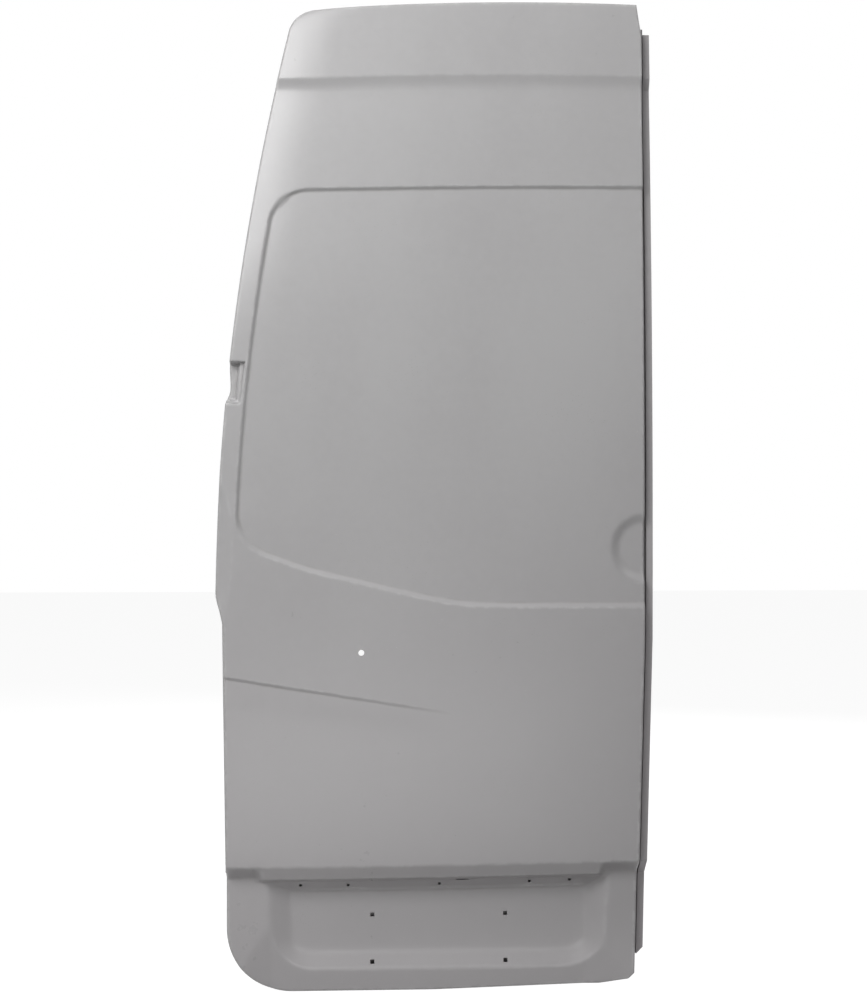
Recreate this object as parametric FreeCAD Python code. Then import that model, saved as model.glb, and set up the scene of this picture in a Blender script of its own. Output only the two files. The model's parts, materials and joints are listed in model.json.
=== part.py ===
import FreeCAD, Part
import math
import os

# Left-hand rear barn door leaf of a high-roof panel van: a bare pressed-steel shell with a blanked window.
# Door axes: X to the right seen from outside, Y inward from the outer skin, Z up; millimetres.
# The drawing datum is the left-most point of the skin (X), its flattest front (Y) and its lowest point (Z).

V = FreeCAD.Vector

# Sheet gauges
SKIN_T = 1.0
FRAME_T = 1.2
PLATE_T = 3.0
SEAT_GAP = 0.3

# Overall elevation of the skin
LOWEST = 0.0
RIGHT_X = 846.0
TOP_Z = 1973.0
RETURN_DEPTH = 22.0

# Heights of the long horizontal lines of the skin
OVERHANG_LOW_Z = 228.0
OVERHANG_HIGH_Z = 258.0
BELT_Z = 764.0
MID_Z = 1180.0
HEADER_Z = 1597.0
CREASE_LOW_Z = 1802.0
CREASE_HIGH_Z = 1825.0

# Depth of the skin behind the datum at those heights
LOWER_SET_BACK = 30.0
MID_LEAN = 9.0
HEADER_LEAN = 36.0
CREASE_LEAN = 56.0
CREASE_STEP = 8.0
TOP_LEAN = 66.0

# Crown of the skin: how much further back its left side lies than its right side
CROWN_LOW = 6.0
CROWN_BELT = 8.0
CROWN_MID = 12.0
CROWN_HEADER = 17.0
CROWN_TOP = 21.0
CROWN_MIDDLE = 0.22

# Set-in directions at the rounded corners of the blank
DIAGONAL = math.sqrt(0.5)
CORNER_LOW_NORMAL = (0.8, 0.6)
SILL_SLOPE = 0.24
SILL_BEND_SLOPE = 0.2
SILL_MID_SLOPE = 0.1

# Working block, larger than the leaf
BLOCK_LEFT = -60.0
BLOCK_RIGHT = 920.0
BLOCK_LOW = -40.0
BLOCK_HIGH = 2020.0
BLOCK_BACK = 320.0
REACH = 60.0
OVERCUT = 1.0

# Left outline: lamp cut-back, long arc and corners
LAMP_STEP_X = 12.5
LAMP_STEP_LOW_Z = 744.0
LAMP_STEP_HIGH_Z = 783.0
LOWER_LEFT_X = 21.0
CORNER_LEFT_R = 130.0
LEFT_ARC_X = 41.3
LEFT_ARC_Z = 1368.0
APEX_X = 151.0
APEX_Z = 1953.0
APEX_RUN = 0.79
CORNER_TOP_R = 58.0
CORNER_MIN_R = 12.0
LEFT_DIRECTION = V(-0.238, 0, -0.971)
TOP_DIRECTION = V(0.998, 0, 0.06)
TOP_MID_X = 560.0
TOP_END_X = 839.0
TOP_END_Z = 1971.5
CUT_END_X = 849.0
CUT_END_Z = 1920.0
RIGHT_KNEE_Z = 700.0
RIGHT_LOW_X = 835.0
RIGHT_FOOT_X = 830.0
RIGHT_FOOT_Z = 32.0
FOOT_CORNER = 12.0
SILL_KINK_X = 760.0
SILL_KINK_Z = 9.6
SILL_LOW_X = 430.0

# Window blank: a panel pressed in behind a sloping step
BLANK_DEPTH = 6.0
BLANK_RUN = 0.9
BLANK_TILT = 0.0072
BLANK_TOP_LEFT = (165.0, 1586.0)
BLANK_TOP_MID = (521.0, 1596.6)
BLANK_CORNER_UP = (122.0, 1569.0)
BLANK_LEFT_UP = (104.0, 1523.0)
BLANK_LEFT_MID = (72.0, 1300.0)
BLANK_LEFT_LOW = (43.0, 955.0)
BLANK_CORNER_LOW = (60.0, 899.0)
BLANK_SILL_START = (108.0, 862.0)
BLANK_SILL_BEND = (400.0, 785.0)
BLANK_SILL_MID = (465.0, 773.0)
BLANK_SILL_FLAT_X = 540.0
BLANK_SILL_Z = 767.0

# Half-round handle dish at the closing edge
DISH_Z = 879.5
DISH_R = 70.0
DISH_FLOOR_R = 48.0
DISH_DEPTH = 9.0

# Lower character line, fading to the right
LINE_LEFT_Z = 632.0
LINE_RIGHT_X = 455.0
LINE_RIGHT_Z = 559.0
LINE_DEPTH = 3.5
LINE_LIP = 7.0
LINE_FADE = 48.0

# Facet pressed into the left edge above the lamp cut-back
FACET_TOP_Z = 1017.0
FACET_INNER_X = 31.5
FACET_BEND_Z = 962.0
FACET_LOW_Z = 818.0
FACET_SLOPE = 0.42

# Number plate recess under the overhang
PLATE_DEPTH = 22.0
MOUTH_LEFT_X = 100.0
MOUTH_RIGHT_X = 775.0
MOUTH_LOW_Z = 20.0
MOUTH_CORNER = 84.0
MOUTH_LEAN = 12.0
FLOOR_LEFT_X = 143.0
FLOOR_RIGHT_X = 737.0
FLOOR_TOP_Z = 196.0
FLOOR_LOW_Z = 33.0
FLOOR_CORNER = 62.0

# Skirt below the recess: a plane that falls back under a mitred line
SKIRT_Z = 138.0
SKIRT_LEFT_X = 108.0
SKIRT_LEFT_RISE = 1.47
SKIRT_RIGHT_X = 728.0
SKIRT_RIGHT_RISE = 1.17
SKIRT_SLOPE = 0.11
SKIRT_DEPTH = 16.0

# Holes in the skin
PLATE_HOLE = 8.0
PLATE_HOLE_X = 440.5
PLATE_HOLE_Z = 103.7
PLATE_PITCH_X = 265.0
PLATE_PITCH_Z = 92.0
LAMP_HOLE_R = 3.0
LAMP_HOLES = ((166.0, 212.0), (260.0, 210.5), (441.0, 212.0), (620.5, 215.5), (700.5, 218.0))
DRAIN_HOLE_R = 5.75
DRAIN_HOLE_X = 285.7
DRAIN_HOLE_Z = 675.0
SLIT_X = 486.0
SLIT_Z = 221.0
SLIT_WIDTH = 28.0
SLIT_HEIGHT = 3.0

# Hinge pocket in the left edge
POCKET_LOW_Z = 1162.5
POCKET_HIGH_Z = 1246.0
POCKET_LOW_X = 48.0
POCKET_HIGH_X = 58.5
POCKET_FLOOR = 22.0
POCKET_T = 1.5

# Inner frame: sections pressed as channels that open towards the skin
RIM_INSET = 12.0
STILE_WIDTH = 84.0
CROSS_HEIGHT = 70.0
FRAME_LOW_DEPTH = 66.0
FRAME_MID_DEPTH = 73.0
FRAME_HEADER_DEPTH = 94.0
FRAME_TOP_DEPTH = 130.0
FRAME_CROWN_LOW = 3.0
FRAME_CROWN_MID = 8.0
FRAME_CROWN = 16.0
STILE_END_X = 262.0
LOCK_END_X = 720.0
UPPER_CROSS_Z = 1770.0
HEADER_RAIL_Z = 1560.0
WAIST_RAIL_Z = 726.0
LOWER_CROSS_Z = 300.0
PLATE_CLEAR = 3.0

# Inner panel that closes the frame behind the plate recess, with an access hole for the lamp wiring
PANEL_LAP = 15.0
ACCESS_X = 440.5
ACCESS_Z = 112.0
ACCESS_SPAN = 110.0
ACCESS_R = 26.0

# Closing flange along the right edge
FLANGE_LOW_Z = 57.0
FLANGE_HIGH_Z = 1915.0
FLANGE_OUT = 19.0
FLANGE_STEP = 7.0
FLANGE_TAIL = 14.0
FLANGE_DEPTH = 34.0
FLANGE_RIM = 9.0
FLANGE_CHAMFER = 20.0

# Hinge pads, nut plates and check strap
HINGE_SEAT_X = 30.0
HINGE_Y = 63.0
HINGE_Z = 1204.0
HINGE_HEIGHT = 78.0
HINGE_DEPTH = 34.0
HINGE_PITCH = 44.0
HINGE_HOLE_R = 5.5
LOWER_HINGE_Z = 330.0
LOWER_HINGE_SEAT_X = 24.0
LOWER_HINGE_Y = 49.0
NUT_PLATE_T = 5.0
NUT_PLATE_DEPTH = 28.0
STILE_GAP = 8.5
STRAP_Z = 980.0
STRAP_Y = 52.0
STRAP_HEIGHT = 90.0
STRAP_DEPTH = 28.0
STRAP_SLOT = 34.0
STRAP_SLOT_W = 14.0

# Lock-side plates
STRIKER_Z = 900.0
STRIKER_Y = 48.0
STRIKER_HEIGHT = 110.0
STRIKER_DEPTH = 26.0
STRIKER_PITCH = 60.0
STRIKER_HOLE_R = 4.5
LATCH_WIDTH = 90.0
LATCH_X = 660.0
LATCH_DEPTH = 26.0
LATCH_PITCH = 56.0
LATCH_HOLE_R = 4.5
LEVER_Z = 1010.0
LEVER_WIDTH = 56.0
LEVER_HEIGHT = 150.0
LEVER_PITCH = 120.0
LEVER_HOLE_R = 3.5

# Skin braces with mastic beads
BRACE_HEIGHT = 60.0
BRACE_DEPTH = 16.0
UPPER_BRACE_Z = 1195.0
LOWER_BRACE_Z = 470.0
MASTIC_T = 3.0
MASTIC_HEIGHT = 40.0

# Where the upper hinge seat lies in the door axes; the exported origin
ORIGIN = V(HINGE_SEAT_X, HINGE_Y, HINGE_Z)


def box(x0, x1, y0, y1, z0, z1):
    """Block between two corners."""
    return Part.makeBox(x1 - x0, y1 - y0, z1 - z0, V(x0, y0, z0))


def arc(a, b, c):
    """Circular edge through three points."""
    return Part.Arc(a, b, c).toShape()


def line(a, b):
    """Straight edge."""
    return Part.makeLine(a, b)


def flat(x, z):
    """Elevation point on the datum plane."""
    return V(x, 0.0, z)


def prism(wire, start=-REACH, end=BLOCK_BACK):
    """Elevation outline drawn through the whole depth of the leaf."""
    face = Part.Face(wire)
    face.translate(V(0, start, 0))
    return face.extrude(V(0, end - start, 0))


def section(z, depth, crown):
    """Plan section of the leaf at one height: a crowned front closed off far behind."""
    left = V(BLOCK_LEFT, depth + crown, z)
    middle = V((BLOCK_LEFT + BLOCK_RIGHT) / 2, depth + CROWN_MIDDLE * crown, z)
    right = V(BLOCK_RIGHT, depth, z)
    back_right = V(BLOCK_RIGHT, BLOCK_BACK, z)
    back_left = V(BLOCK_LEFT, BLOCK_BACK, z)
    back = [line(right, back_right), line(back_right, back_left), line(back_left, left)]
    return Part.Wire([arc(left, middle, right), *back])


def stack(groups):
    """Solid behind a front surface made of lofts that meet along creases."""
    solid = None
    for stations in groups:
        wires = [section(*station) for station in stations]
        piece = Part.makeLoft(wires, True, len(stations) == 2)
        solid = piece if solid is None else solid.fuse(piece)
    return solid.removeSplitter()


def skin_block():
    """Everything behind the outer surface of the skin."""
    overhang = (OVERHANG_HIGH_Z, 0.0, CROWN_LOW)
    below = (OVERHANG_LOW_Z, LOWER_SET_BACK, CROWN_LOW)
    crease = (CREASE_LOW_Z, CREASE_LEAN, CROWN_TOP)
    brow = (CREASE_HIGH_Z, CREASE_LEAN - CREASE_STEP, CROWN_TOP)
    middle = [(BELT_Z, 0.0, CROWN_BELT), (MID_Z, MID_LEAN, CROWN_MID)]
    header = (HEADER_Z, HEADER_LEAN, CROWN_HEADER)
    return stack([
        [(BLOCK_LOW, LOWER_SET_BACK, CROWN_LOW), below],
        [below, overhang],
        [overhang, *middle, header, crease],
        [crease, brow],
        [brow, (BLOCK_HIGH, TOP_LEAN, CROWN_TOP)],
    ])


def frame_block():
    """Everything behind the inner face of the frame."""
    return stack([[
        (BLOCK_LOW, FRAME_LOW_DEPTH, FRAME_CROWN_LOW),
        (BELT_Z, FRAME_LOW_DEPTH, FRAME_CROWN_LOW),
        (MID_Z, FRAME_MID_DEPTH, FRAME_CROWN_MID),
        (HEADER_Z, FRAME_HEADER_DEPTH, FRAME_CROWN),
        (BLOCK_HIGH, FRAME_TOP_DEPTH, FRAME_CROWN),
    ]])


def behind(block, depth):
    """A block moved inward."""
    return block.translated(V(0, depth, 0))


def sheet(region, block, near, far):
    """Part of a region that follows the front of a block between two depths."""
    return region.common(behind(block, near)).cut(behind(block, far))


def rounded(apex, one, other, radius):
    """Start, middle and end of the arc that rounds a corner between two directions."""
    half_turn = (math.pi - one.getAngle(other)) / 2
    reach = radius * math.tan(half_turn)
    bisector = (one + other).normalize()
    middle = apex + bisector * (radius / math.cos(half_turn) - radius)
    return apex + V(one) * reach, middle, apex + V(other) * reach


def outline(inset=0.0):
    """Elevation outline of the leaf, set in evenly from the edge of the skin."""
    up = V(0, 0, 1)
    right = V(1, 0, 0)
    low = LOWEST + inset
    foot_apex = flat(LOWER_LEFT_X + inset, low)
    foot = rounded(foot_apex, up, right, max(CORNER_LEFT_R - inset, CORNER_MIN_R))
    top_apex = flat(APEX_X + APEX_RUN * inset, APEX_Z - inset)
    top = rounded(top_apex, LEFT_DIRECTION, TOP_DIRECTION, max(CORNER_TOP_R - inset, CORNER_MIN_R))
    sill_low = flat(SILL_LOW_X, low)
    sill_kink = flat(SILL_KINK_X, SILL_KINK_Z + inset)
    foot_low = flat(RIGHT_FOOT_X - FOOT_CORNER - inset, RIGHT_FOOT_Z - FOOT_CORNER + inset)
    foot_right = flat(RIGHT_FOOT_X - inset, RIGHT_FOOT_Z + inset)
    overhang = flat(RIGHT_LOW_X - inset, OVERHANG_HIGH_Z)
    knee = flat(RIGHT_X - inset, RIGHT_KNEE_Z)
    cut_end = flat(CUT_END_X - inset, CUT_END_Z - inset)
    top_end = flat(TOP_END_X - inset, TOP_END_Z - inset)
    step_high = flat(inset, LAMP_STEP_HIGH_Z)
    step_low = flat(LAMP_STEP_X + inset, LAMP_STEP_LOW_Z)
    return Part.Wire([
        arc(*foot),
        line(foot[2], sill_low),
        line(sill_low, sill_kink),
        line(sill_kink, foot_low),
        line(foot_low, foot_right),
        line(foot_right, overhang),
        line(overhang, knee),
        line(knee, cut_end),
        line(cut_end, top_end),
        arc(top_end, flat(TOP_MID_X, TOP_Z - inset), top[2]),
        arc(top[2], top[1], top[0]),
        arc(top[0], flat(LEFT_ARC_X + inset, LEFT_ARC_Z), step_high),
        line(step_high, step_low),
        line(step_low, foot[0]),
    ])


def blank_wire(level, grow):
    """Window blank outline on a plane that leans like the skin, closing in as it goes deeper."""
    lean = HEADER_LEAN / (HEADER_Z - BELT_Z)
    inset = BLANK_RUN * level - grow

    def at(point, nx, nz):
        x = point[0] + nx * inset
        z = point[1] + nz * inset
        return V(x, lean * (z - BELT_Z) + BLANK_TILT * (RIGHT_X - x) + level, z)

    top_right = at((BLOCK_RIGHT, HEADER_Z), 0, -1)
    top_left = at(BLANK_TOP_LEFT, 0, -1)
    left_up = at(BLANK_LEFT_UP, 1, 0)
    left_low = at(BLANK_LEFT_LOW, 1, 0)
    sill_start = at(BLANK_SILL_START, SILL_SLOPE, 1)
    sill_bend = at(BLANK_SILL_BEND, SILL_BEND_SLOPE, 1)
    sill_flat = at((BLANK_SILL_FLAT_X, BLANK_SILL_Z), 0, 1)
    sill_right = at((BLOCK_RIGHT, BLANK_SILL_Z), 0, 1)
    return Part.Wire([
        arc(top_right, at(BLANK_TOP_MID, 0, -1), top_left),
        arc(top_left, at(BLANK_CORNER_UP, DIAGONAL, -DIAGONAL), left_up),
        arc(left_up, at(BLANK_LEFT_MID, 1, 0), left_low),
        arc(left_low, at(BLANK_CORNER_LOW, *CORNER_LOW_NORMAL), sill_start),
        line(sill_start, sill_bend),
        arc(sill_bend, at(BLANK_SILL_MID, SILL_MID_SLOPE, 1), sill_flat),
        line(sill_flat, sill_right),
        line(sill_right, top_right),
    ])


def blank_tool(block, extra):
    """Room pressed in for the window blank, extra deep and wide by one sheet for the back of the skin."""
    funnel = Part.makeLoft([blank_wire(-REACH / 2, extra), blank_wire(REACH / 2, extra)], True, True)
    return funnel.cut(behind(block, BLANK_DEPTH + extra))


def dish_tool(extra):
    """Half-round handle dish, a shallow cone about the closing edge."""
    run = (DISH_R - DISH_FLOOR_R) / DISH_DEPTH
    start = -REACH / 3
    floor = BLANK_DEPTH + DISH_DEPTH + extra
    outer_r = DISH_R + extra + run * (BLANK_DEPTH - start)
    return Part.makeCone(outer_r, DISH_FLOOR_R + extra, floor - start, V(RIGHT_X, start, DISH_Z), V(0, 1, 0))


def skin_depth(block, x, z):
    """Depth of a block's front at one place of the elevation."""
    probe = line(V(x, -REACH, z), V(x, BLOCK_BACK - 1, z))
    return block.common(probe).BoundBox.YMin


def line_section(block, x, z, depth):
    """Section of the lower character line: a short lip that faces down and a long fade below it."""
    y = skin_depth(block, x, z - LINE_LIP)
    out = 4 * LINE_DEPTH
    corners = [
        V(x, y - out, z + 1),
        V(x, y - depth / 4, z),
        V(x, y + depth, z - LINE_LIP),
        V(x, y - depth / 8, z - LINE_FADE),
        V(x, y - out, z - LINE_FADE - 1),
    ]
    return Part.makePolygon(corners + corners[:1])


def line_tool(block, extra):
    """Lower character line, deepest at the left edge and fading out to the right."""
    left_x = -REACH / 3
    left = line_section(block, left_x, LINE_LEFT_Z, LINE_DEPTH + extra)
    right = line_section(block, LINE_RIGHT_X, LINE_RIGHT_Z, LINE_DEPTH / 20 + extra)
    return Part.makeLoft([left, right], True, True)


def facet_tool(extra):
    """Facet that falls away towards the left edge, rounded off at its top."""
    inner = FACET_INNER_X + extra
    top = FACET_TOP_Z + extra
    bend = FACET_BEND_Z
    outer = -REACH / 2
    low = LAMP_STEP_LOW_Z
    region = Part.Wire([
        line(flat(outer, top), flat(LAMP_STEP_X, top)),
        line(flat(LAMP_STEP_X, top), flat(inner, bend)),
        line(flat(inner, bend), flat(inner, FACET_LOW_Z)),
        line(flat(inner, FACET_LOW_Z), flat(LAMP_STEP_X, low)),
        line(flat(LAMP_STEP_X, low), flat(outer, low)),
        line(flat(outer, low), flat(outer, top)),
    ])
    fall = FACET_SLOPE * (inner - outer)
    start = CROWN_MID / 2 + extra
    front = -REACH / 3
    wedge = Part.makePolygon([
        V(inner, front, low - 1), V(inner, start, low - 1), V(outer, start + fall, low - 1),
        V(outer, front, low - 1), V(inner, front, low - 1),
    ])
    return prism(region).common(Part.Face(wedge).extrude(V(0, 0, top - low + 2)))


def recess_wire(y, left, right, top, low, corner, lean):
    """Plate recess outline at one depth: straight top and sides, round lower corners."""
    knuckle = corner * (1 - DIAGONAL)
    a = V(left, y, top)
    b = V(left + lean, y, low + corner)
    c = V(left + lean + knuckle, y, low + knuckle)
    d = V(left + lean + corner, y, low)
    e = V(right - lean - corner, y, low)
    f = V(right - lean - knuckle, y, low + knuckle)
    g = V(right - lean, y, low + corner)
    h = V(right, y, top)
    return Part.Wire([line(a, b), arc(b, c, d), line(d, e), arc(e, f, g), line(g, h), line(h, a)])


def recess_tool(extra):
    """Number plate recess, walls sloping in from a mouth under the overhang to a flat floor."""
    mouth_y = LOWER_SET_BACK
    floor_y = LOWER_SET_BACK + PLATE_DEPTH + extra
    mouth = recess_wire(
        mouth_y, MOUTH_LEFT_X - extra, MOUTH_RIGHT_X + extra, OVERHANG_LOW_Z + extra,
        MOUTH_LOW_Z - extra, MOUTH_CORNER + extra, MOUTH_LEAN)
    floor = recess_wire(
        floor_y, FLOOR_LEFT_X - extra, FLOOR_RIGHT_X + extra, FLOOR_TOP_Z + extra,
        FLOOR_LOW_Z - extra, FLOOR_CORNER + extra, MOUTH_LEAN / 2)
    sunk = Part.makeLoft([mouth, floor], True, True)
    collar = prism(mouth.translated(V(0, -mouth_y, 0)), 0.0, mouth_y)
    below = box(BLOCK_LEFT, BLOCK_RIGHT, 0.0, mouth_y, BLOCK_LOW, OVERHANG_LOW_Z)
    return sunk.fuse(collar.common(below))


def skirt_tool(extra):
    """Skirt under the recess: a mitred face drawn back and down, so that the lip sinks towards the sill."""
    front = LOWER_SET_BACK + CROWN_LOW / 4 + extra
    left_z = SKIRT_Z - SKIRT_LEFT_RISE * (SKIRT_LEFT_X - BLOCK_LEFT)
    right_z = SKIRT_Z - SKIRT_RIGHT_RISE * (BLOCK_RIGHT - SKIRT_RIGHT_X)
    floor_z = min(left_z, right_z) - REACH
    face = Part.Face(Part.makePolygon([
        V(BLOCK_LEFT, front, left_z),
        V(SKIRT_LEFT_X, front, SKIRT_Z),
        V(SKIRT_RIGHT_X, front, SKIRT_Z),
        V(BLOCK_RIGHT, front, right_z),
        V(BLOCK_RIGHT, front, floor_z),
        V(BLOCK_LEFT, front, floor_z),
        V(BLOCK_LEFT, front, left_z),
    ]))
    return face.extrude(V(0, SKIRT_DEPTH, -SKIRT_DEPTH / SKIRT_SLOPE))


def pocket_wire(clear):
    """Hinge pocket outline, open beyond the left edge."""
    low = POCKET_LOW_Z + clear
    high = POCKET_HIGH_Z - clear
    a = flat(BLOCK_LEFT / 2, low)
    b = flat(POCKET_LOW_X - clear, low)
    c = flat(POCKET_HIGH_X - clear, high)
    d = flat(BLOCK_LEFT / 2, high)
    return Part.makePolygon([a, b, c, d, a])


def square_hole(x, z):
    """Square through-hole for a plate fixing."""
    half = PLATE_HOLE / 2
    return box(x - half, x + half, -REACH, BLOCK_BACK, z - half, z + half)


def round_hole(x, z, radius):
    """Round hole through the sheet along Y."""
    return Part.makeCylinder(radius, BLOCK_BACK, V(x, -REACH, z), V(0, 1, 0))


def drilled(shape, holes):
    """Shape with holes taken out."""
    for hole in holes:
        shape = shape.cut(hole)
    return shape


def skin_holes():
    """All holes punched in the skin."""
    holes = [round_hole(DRAIN_HOLE_X, DRAIN_HOLE_Z, DRAIN_HOLE_R)]
    for side in (-0.5, 0.5):
        for level in (-0.5, 0.5):
            x = PLATE_HOLE_X + side * PLATE_PITCH_X
            holes.append(square_hole(x, PLATE_HOLE_Z + level * PLATE_PITCH_Z))
    for x, z in LAMP_HOLES:
        holes.append(round_hole(x, z, LAMP_HOLE_R))
    wide = SLIT_WIDTH / 2
    tall = SLIT_HEIGHT / 2
    holes.append(window(SLIT_X - wide, SLIT_X + wide, SLIT_Z - tall, SLIT_Z + tall))
    return holes


def pressed(block, extra, wall):
    """Leaf volume with every pressing taken off; extra shifts the pressings by one sheet."""
    solid = prism(outline(wall)).common(behind(block, extra))
    upper = [blank_tool(block, extra), dish_tool(extra), facet_tool(extra)]
    lower = [line_tool(block, extra), recess_tool(extra), skirt_tool(extra)]
    for tool in upper + lower:
        solid = solid.cut(tool)
    return solid


def outer_skin(block):
    """Outer skin: one pressing with returns along its whole edge."""
    outside = pressed(block, 0.0, 0.0)
    inside = pressed(block, SKIN_T, SKIN_T)
    beyond_returns = behind(block, RETURN_DEPTH).cut(prism(outline(SKIN_T)))
    pressing = outside.cut(inside).cut(beyond_returns)
    return drilled(pressing.cut(prism(pocket_wire(0.0))), skin_holes())


def pocket_tray(block):
    """Hinge pocket: a drawn tray let into the notch of the skin, open to the left."""
    room = sheet(prism(pocket_wire(SEAT_GAP)), block, SEAT_GAP, POCKET_FLOOR + POCKET_T)
    hollow = prism(pocket_wire(SEAT_GAP + POCKET_T)).cut(behind(block, POCKET_FLOOR))
    stile_face = HINGE_SEAT_X + STILE_GAP
    beside = box(BLOCK_LEFT, stile_face, -REACH, BLOCK_BACK, BLOCK_LOW, BLOCK_HIGH)
    return room.cut(hollow).cut(beside)


def ring(inset, width):
    """Elevation face between two insets of the outline."""
    return Part.Face(outline(inset)).cut(Part.Face(outline(inset + width)))


def slab(face):
    """Elevation face drawn through the whole depth of the leaf."""
    moved = face.translated(V(0, -REACH, 0))
    return moved.extrude(V(0, REACH + BLOCK_BACK, 0))


def part_of_ring(inset, width, window):
    """Piece of the rim ring that lies inside a window of the elevation."""
    return slab(ring(inset, width)).common(window)


def window(x0, x1, z0, z1):
    """Upright block that picks out one part of the elevation."""
    return box(x0, x1, -REACH, BLOCK_BACK, z0, z1)


def stile_window(inset):
    """Where the hinge stile runs: the left side of the leaf."""
    return window(BLOCK_LEFT, STILE_END_X - inset, BLOCK_LOW, BLOCK_HIGH)


def lock_window(inset):
    """Where the lock stile runs: the right side of the leaf."""
    return window(LOCK_END_X + inset, BLOCK_RIGHT, BLOCK_LOW, BLOCK_HIGH)


def channel(block, inner, region, hollow):
    """Pressed channel: side walls from behind the returns to a web on the inner face."""
    solid = region.common(behind(block, RETURN_DEPTH).cut(inner))
    return solid.cut(hollow.common(behind(block, RETURN_DEPTH - OVERCUT).cut(behind(inner, -FRAME_T))))


def rim_section(block, inner, view):
    """Frame section along the rim: channel with an outer flange that the returns of the skin stand on."""
    region = part_of_ring(0.0, RIM_INSET + STILE_WIDTH, view(0.0))
    hollow = part_of_ring(RIM_INSET + FRAME_T, STILE_WIDTH - 2 * FRAME_T, view(FRAME_T))
    outside = part_of_ring(-OVERCUT, RIM_INSET + OVERCUT, view(-OVERCUT))
    section_solid = channel(block, inner, region, hollow)
    section_solid = section_solid.cut(outside.common(behind(block, RETURN_DEPTH + FRAME_T)))
    return section_solid.cut(recess_tool(PLATE_CLEAR))


def hinge_stile(block, inner):
    """Left frame section, with the hinge and strap holes in its outer wall."""
    stile = rim_section(block, inner, stile_window)
    pocket = window(BLOCK_LEFT, POCKET_HIGH_X, POCKET_LOW_Z, POCKET_HIGH_Z)
    stile = stile.cut(pocket.cut(behind(block, POCKET_FLOOR + POCKET_T)))
    return drilled(stile, hinge_holes() + [strap_slot()])


def lock_stile(block, inner):
    """Right frame section, with the striker holes in its outer wall and the lever opening in its web."""
    stile = rim_section(block, inner, lock_window)
    return drilled(stile, striker_holes() + lever_holes())


def top_view(inset):
    """Where the top rail runs: between the two stiles, above the upper cross rail."""
    return window(STILE_END_X + inset, LOCK_END_X - inset, BELT_Z, BLOCK_HIGH)


def bottom_view(inset):
    """Where the bottom rail runs: between the two stiles, along the sill."""
    return window(STILE_END_X + inset, LOCK_END_X - inset, BLOCK_LOW, BELT_Z)


def cross_rail(block, inner, z, height):
    """Cross rail between the inner walls of the two stiles."""
    reach = RIM_INSET + STILE_WIDTH
    between = slab(Part.Face(outline(reach)))
    within = slab(Part.Face(outline(reach + FRAME_T)))
    half = height / 2
    region = between.common(window(BLOCK_LEFT, BLOCK_RIGHT, z - half, z + half))
    hollow = within.common(window(BLOCK_LEFT, BLOCK_RIGHT, z - half + FRAME_T, z + half - FRAME_T))
    return channel(block, inner, region, hollow).cut(recess_tool(PLATE_CLEAR))


def inner_panel(inner):
    """Panel on the inner face of the frame behind the plate recess, lapped onto the webs all round."""
    reach = RIM_INSET + STILE_WIDTH - PANEL_LAP
    top = LOWER_CROSS_Z - CROSS_HEIGHT / 2 + PANEL_LAP
    where = slab(Part.Face(outline(reach))).common(window(BLOCK_LEFT, BLOCK_RIGHT, BLOCK_LOW, top))
    half = ACCESS_SPAN / 2
    holes = [window(ACCESS_X - half, ACCESS_X + half, ACCESS_Z - ACCESS_R, ACCESS_Z + ACCESS_R)]
    holes += [round_hole(ACCESS_X + side * half, ACCESS_Z, ACCESS_R) for side in (-1, 1)]
    return drilled(sheet(where, inner, SEAT_GAP, SEAT_GAP + FRAME_T), holes)


def closing_flange(block):
    """Flange along the closing edge: a strip behind the skin that steps forward to an outer strip."""
    profile = window(RIGHT_LOW_X - REACH, BLOCK_RIGHT, FLANGE_LOW_Z, FLANGE_HIGH_Z)
    longer = window(RIGHT_LOW_X - REACH, BLOCK_RIGHT, FLANGE_LOW_Z, FLANGE_HIGH_Z + FLANGE_TAIL)
    beyond = slab(Part.Face(outline(-FLANGE_OUT)))
    stepped = slab(Part.Face(outline(-FLANGE_STEP)))
    riser_inner = slab(Part.Face(outline(FRAME_T - FLANGE_STEP)))
    hidden = slab(Part.Face(outline(RIM_INSET)))
    far = FLANGE_DEPTH + FRAME_T
    near = FLANGE_DEPTH - FLANGE_RIM
    strip = sheet(stepped.cut(hidden).common(longer), block, FLANGE_DEPTH, far)
    riser = sheet(stepped.cut(riser_inner).common(profile), block, near, far)
    outer = sheet(beyond.cut(riser_inner).common(profile), block, near, near + FRAME_T)
    corner = RIGHT_FOOT_X + FLANGE_OUT
    chamfer = Part.Face(Part.makePolygon([
        flat(corner - FLANGE_CHAMFER, FLANGE_LOW_Z - OVERCUT),
        flat(corner + REACH, FLANGE_LOW_Z - OVERCUT),
        flat(corner + REACH, FLANGE_LOW_Z + FLANGE_CHAMFER + REACH),
        flat(corner - FLANGE_CHAMFER, FLANGE_LOW_Z - OVERCUT),
    ]))
    return strip.fuse(riser).fuse(outer).cut(slab(chamfer)).removeSplitter()


def hinge_seats():
    """Centres of the two hinge seat faces."""
    return [V(HINGE_SEAT_X, HINGE_Y, HINGE_Z), V(LOWER_HINGE_SEAT_X, LOWER_HINGE_Y, LOWER_HINGE_Z)]


def hinge_holes():
    """Bolt holes of both hinge seats, along X through the outer wall of the stile."""
    holes = []
    for seat in hinge_seats():
        for side in (-0.5, 0.5):
            start = seat + V(-REACH, 0, side * HINGE_PITCH)
            holes.append(Part.makeCylinder(HINGE_HOLE_R, REACH + STILE_WIDTH / 2, start, V(1, 0, 0)))
    return holes


def rim_wall(inset):
    """Everything inboard of the outer wall of the frame at an inset of the outline."""
    return slab(Part.Face(outline(inset)))


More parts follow.
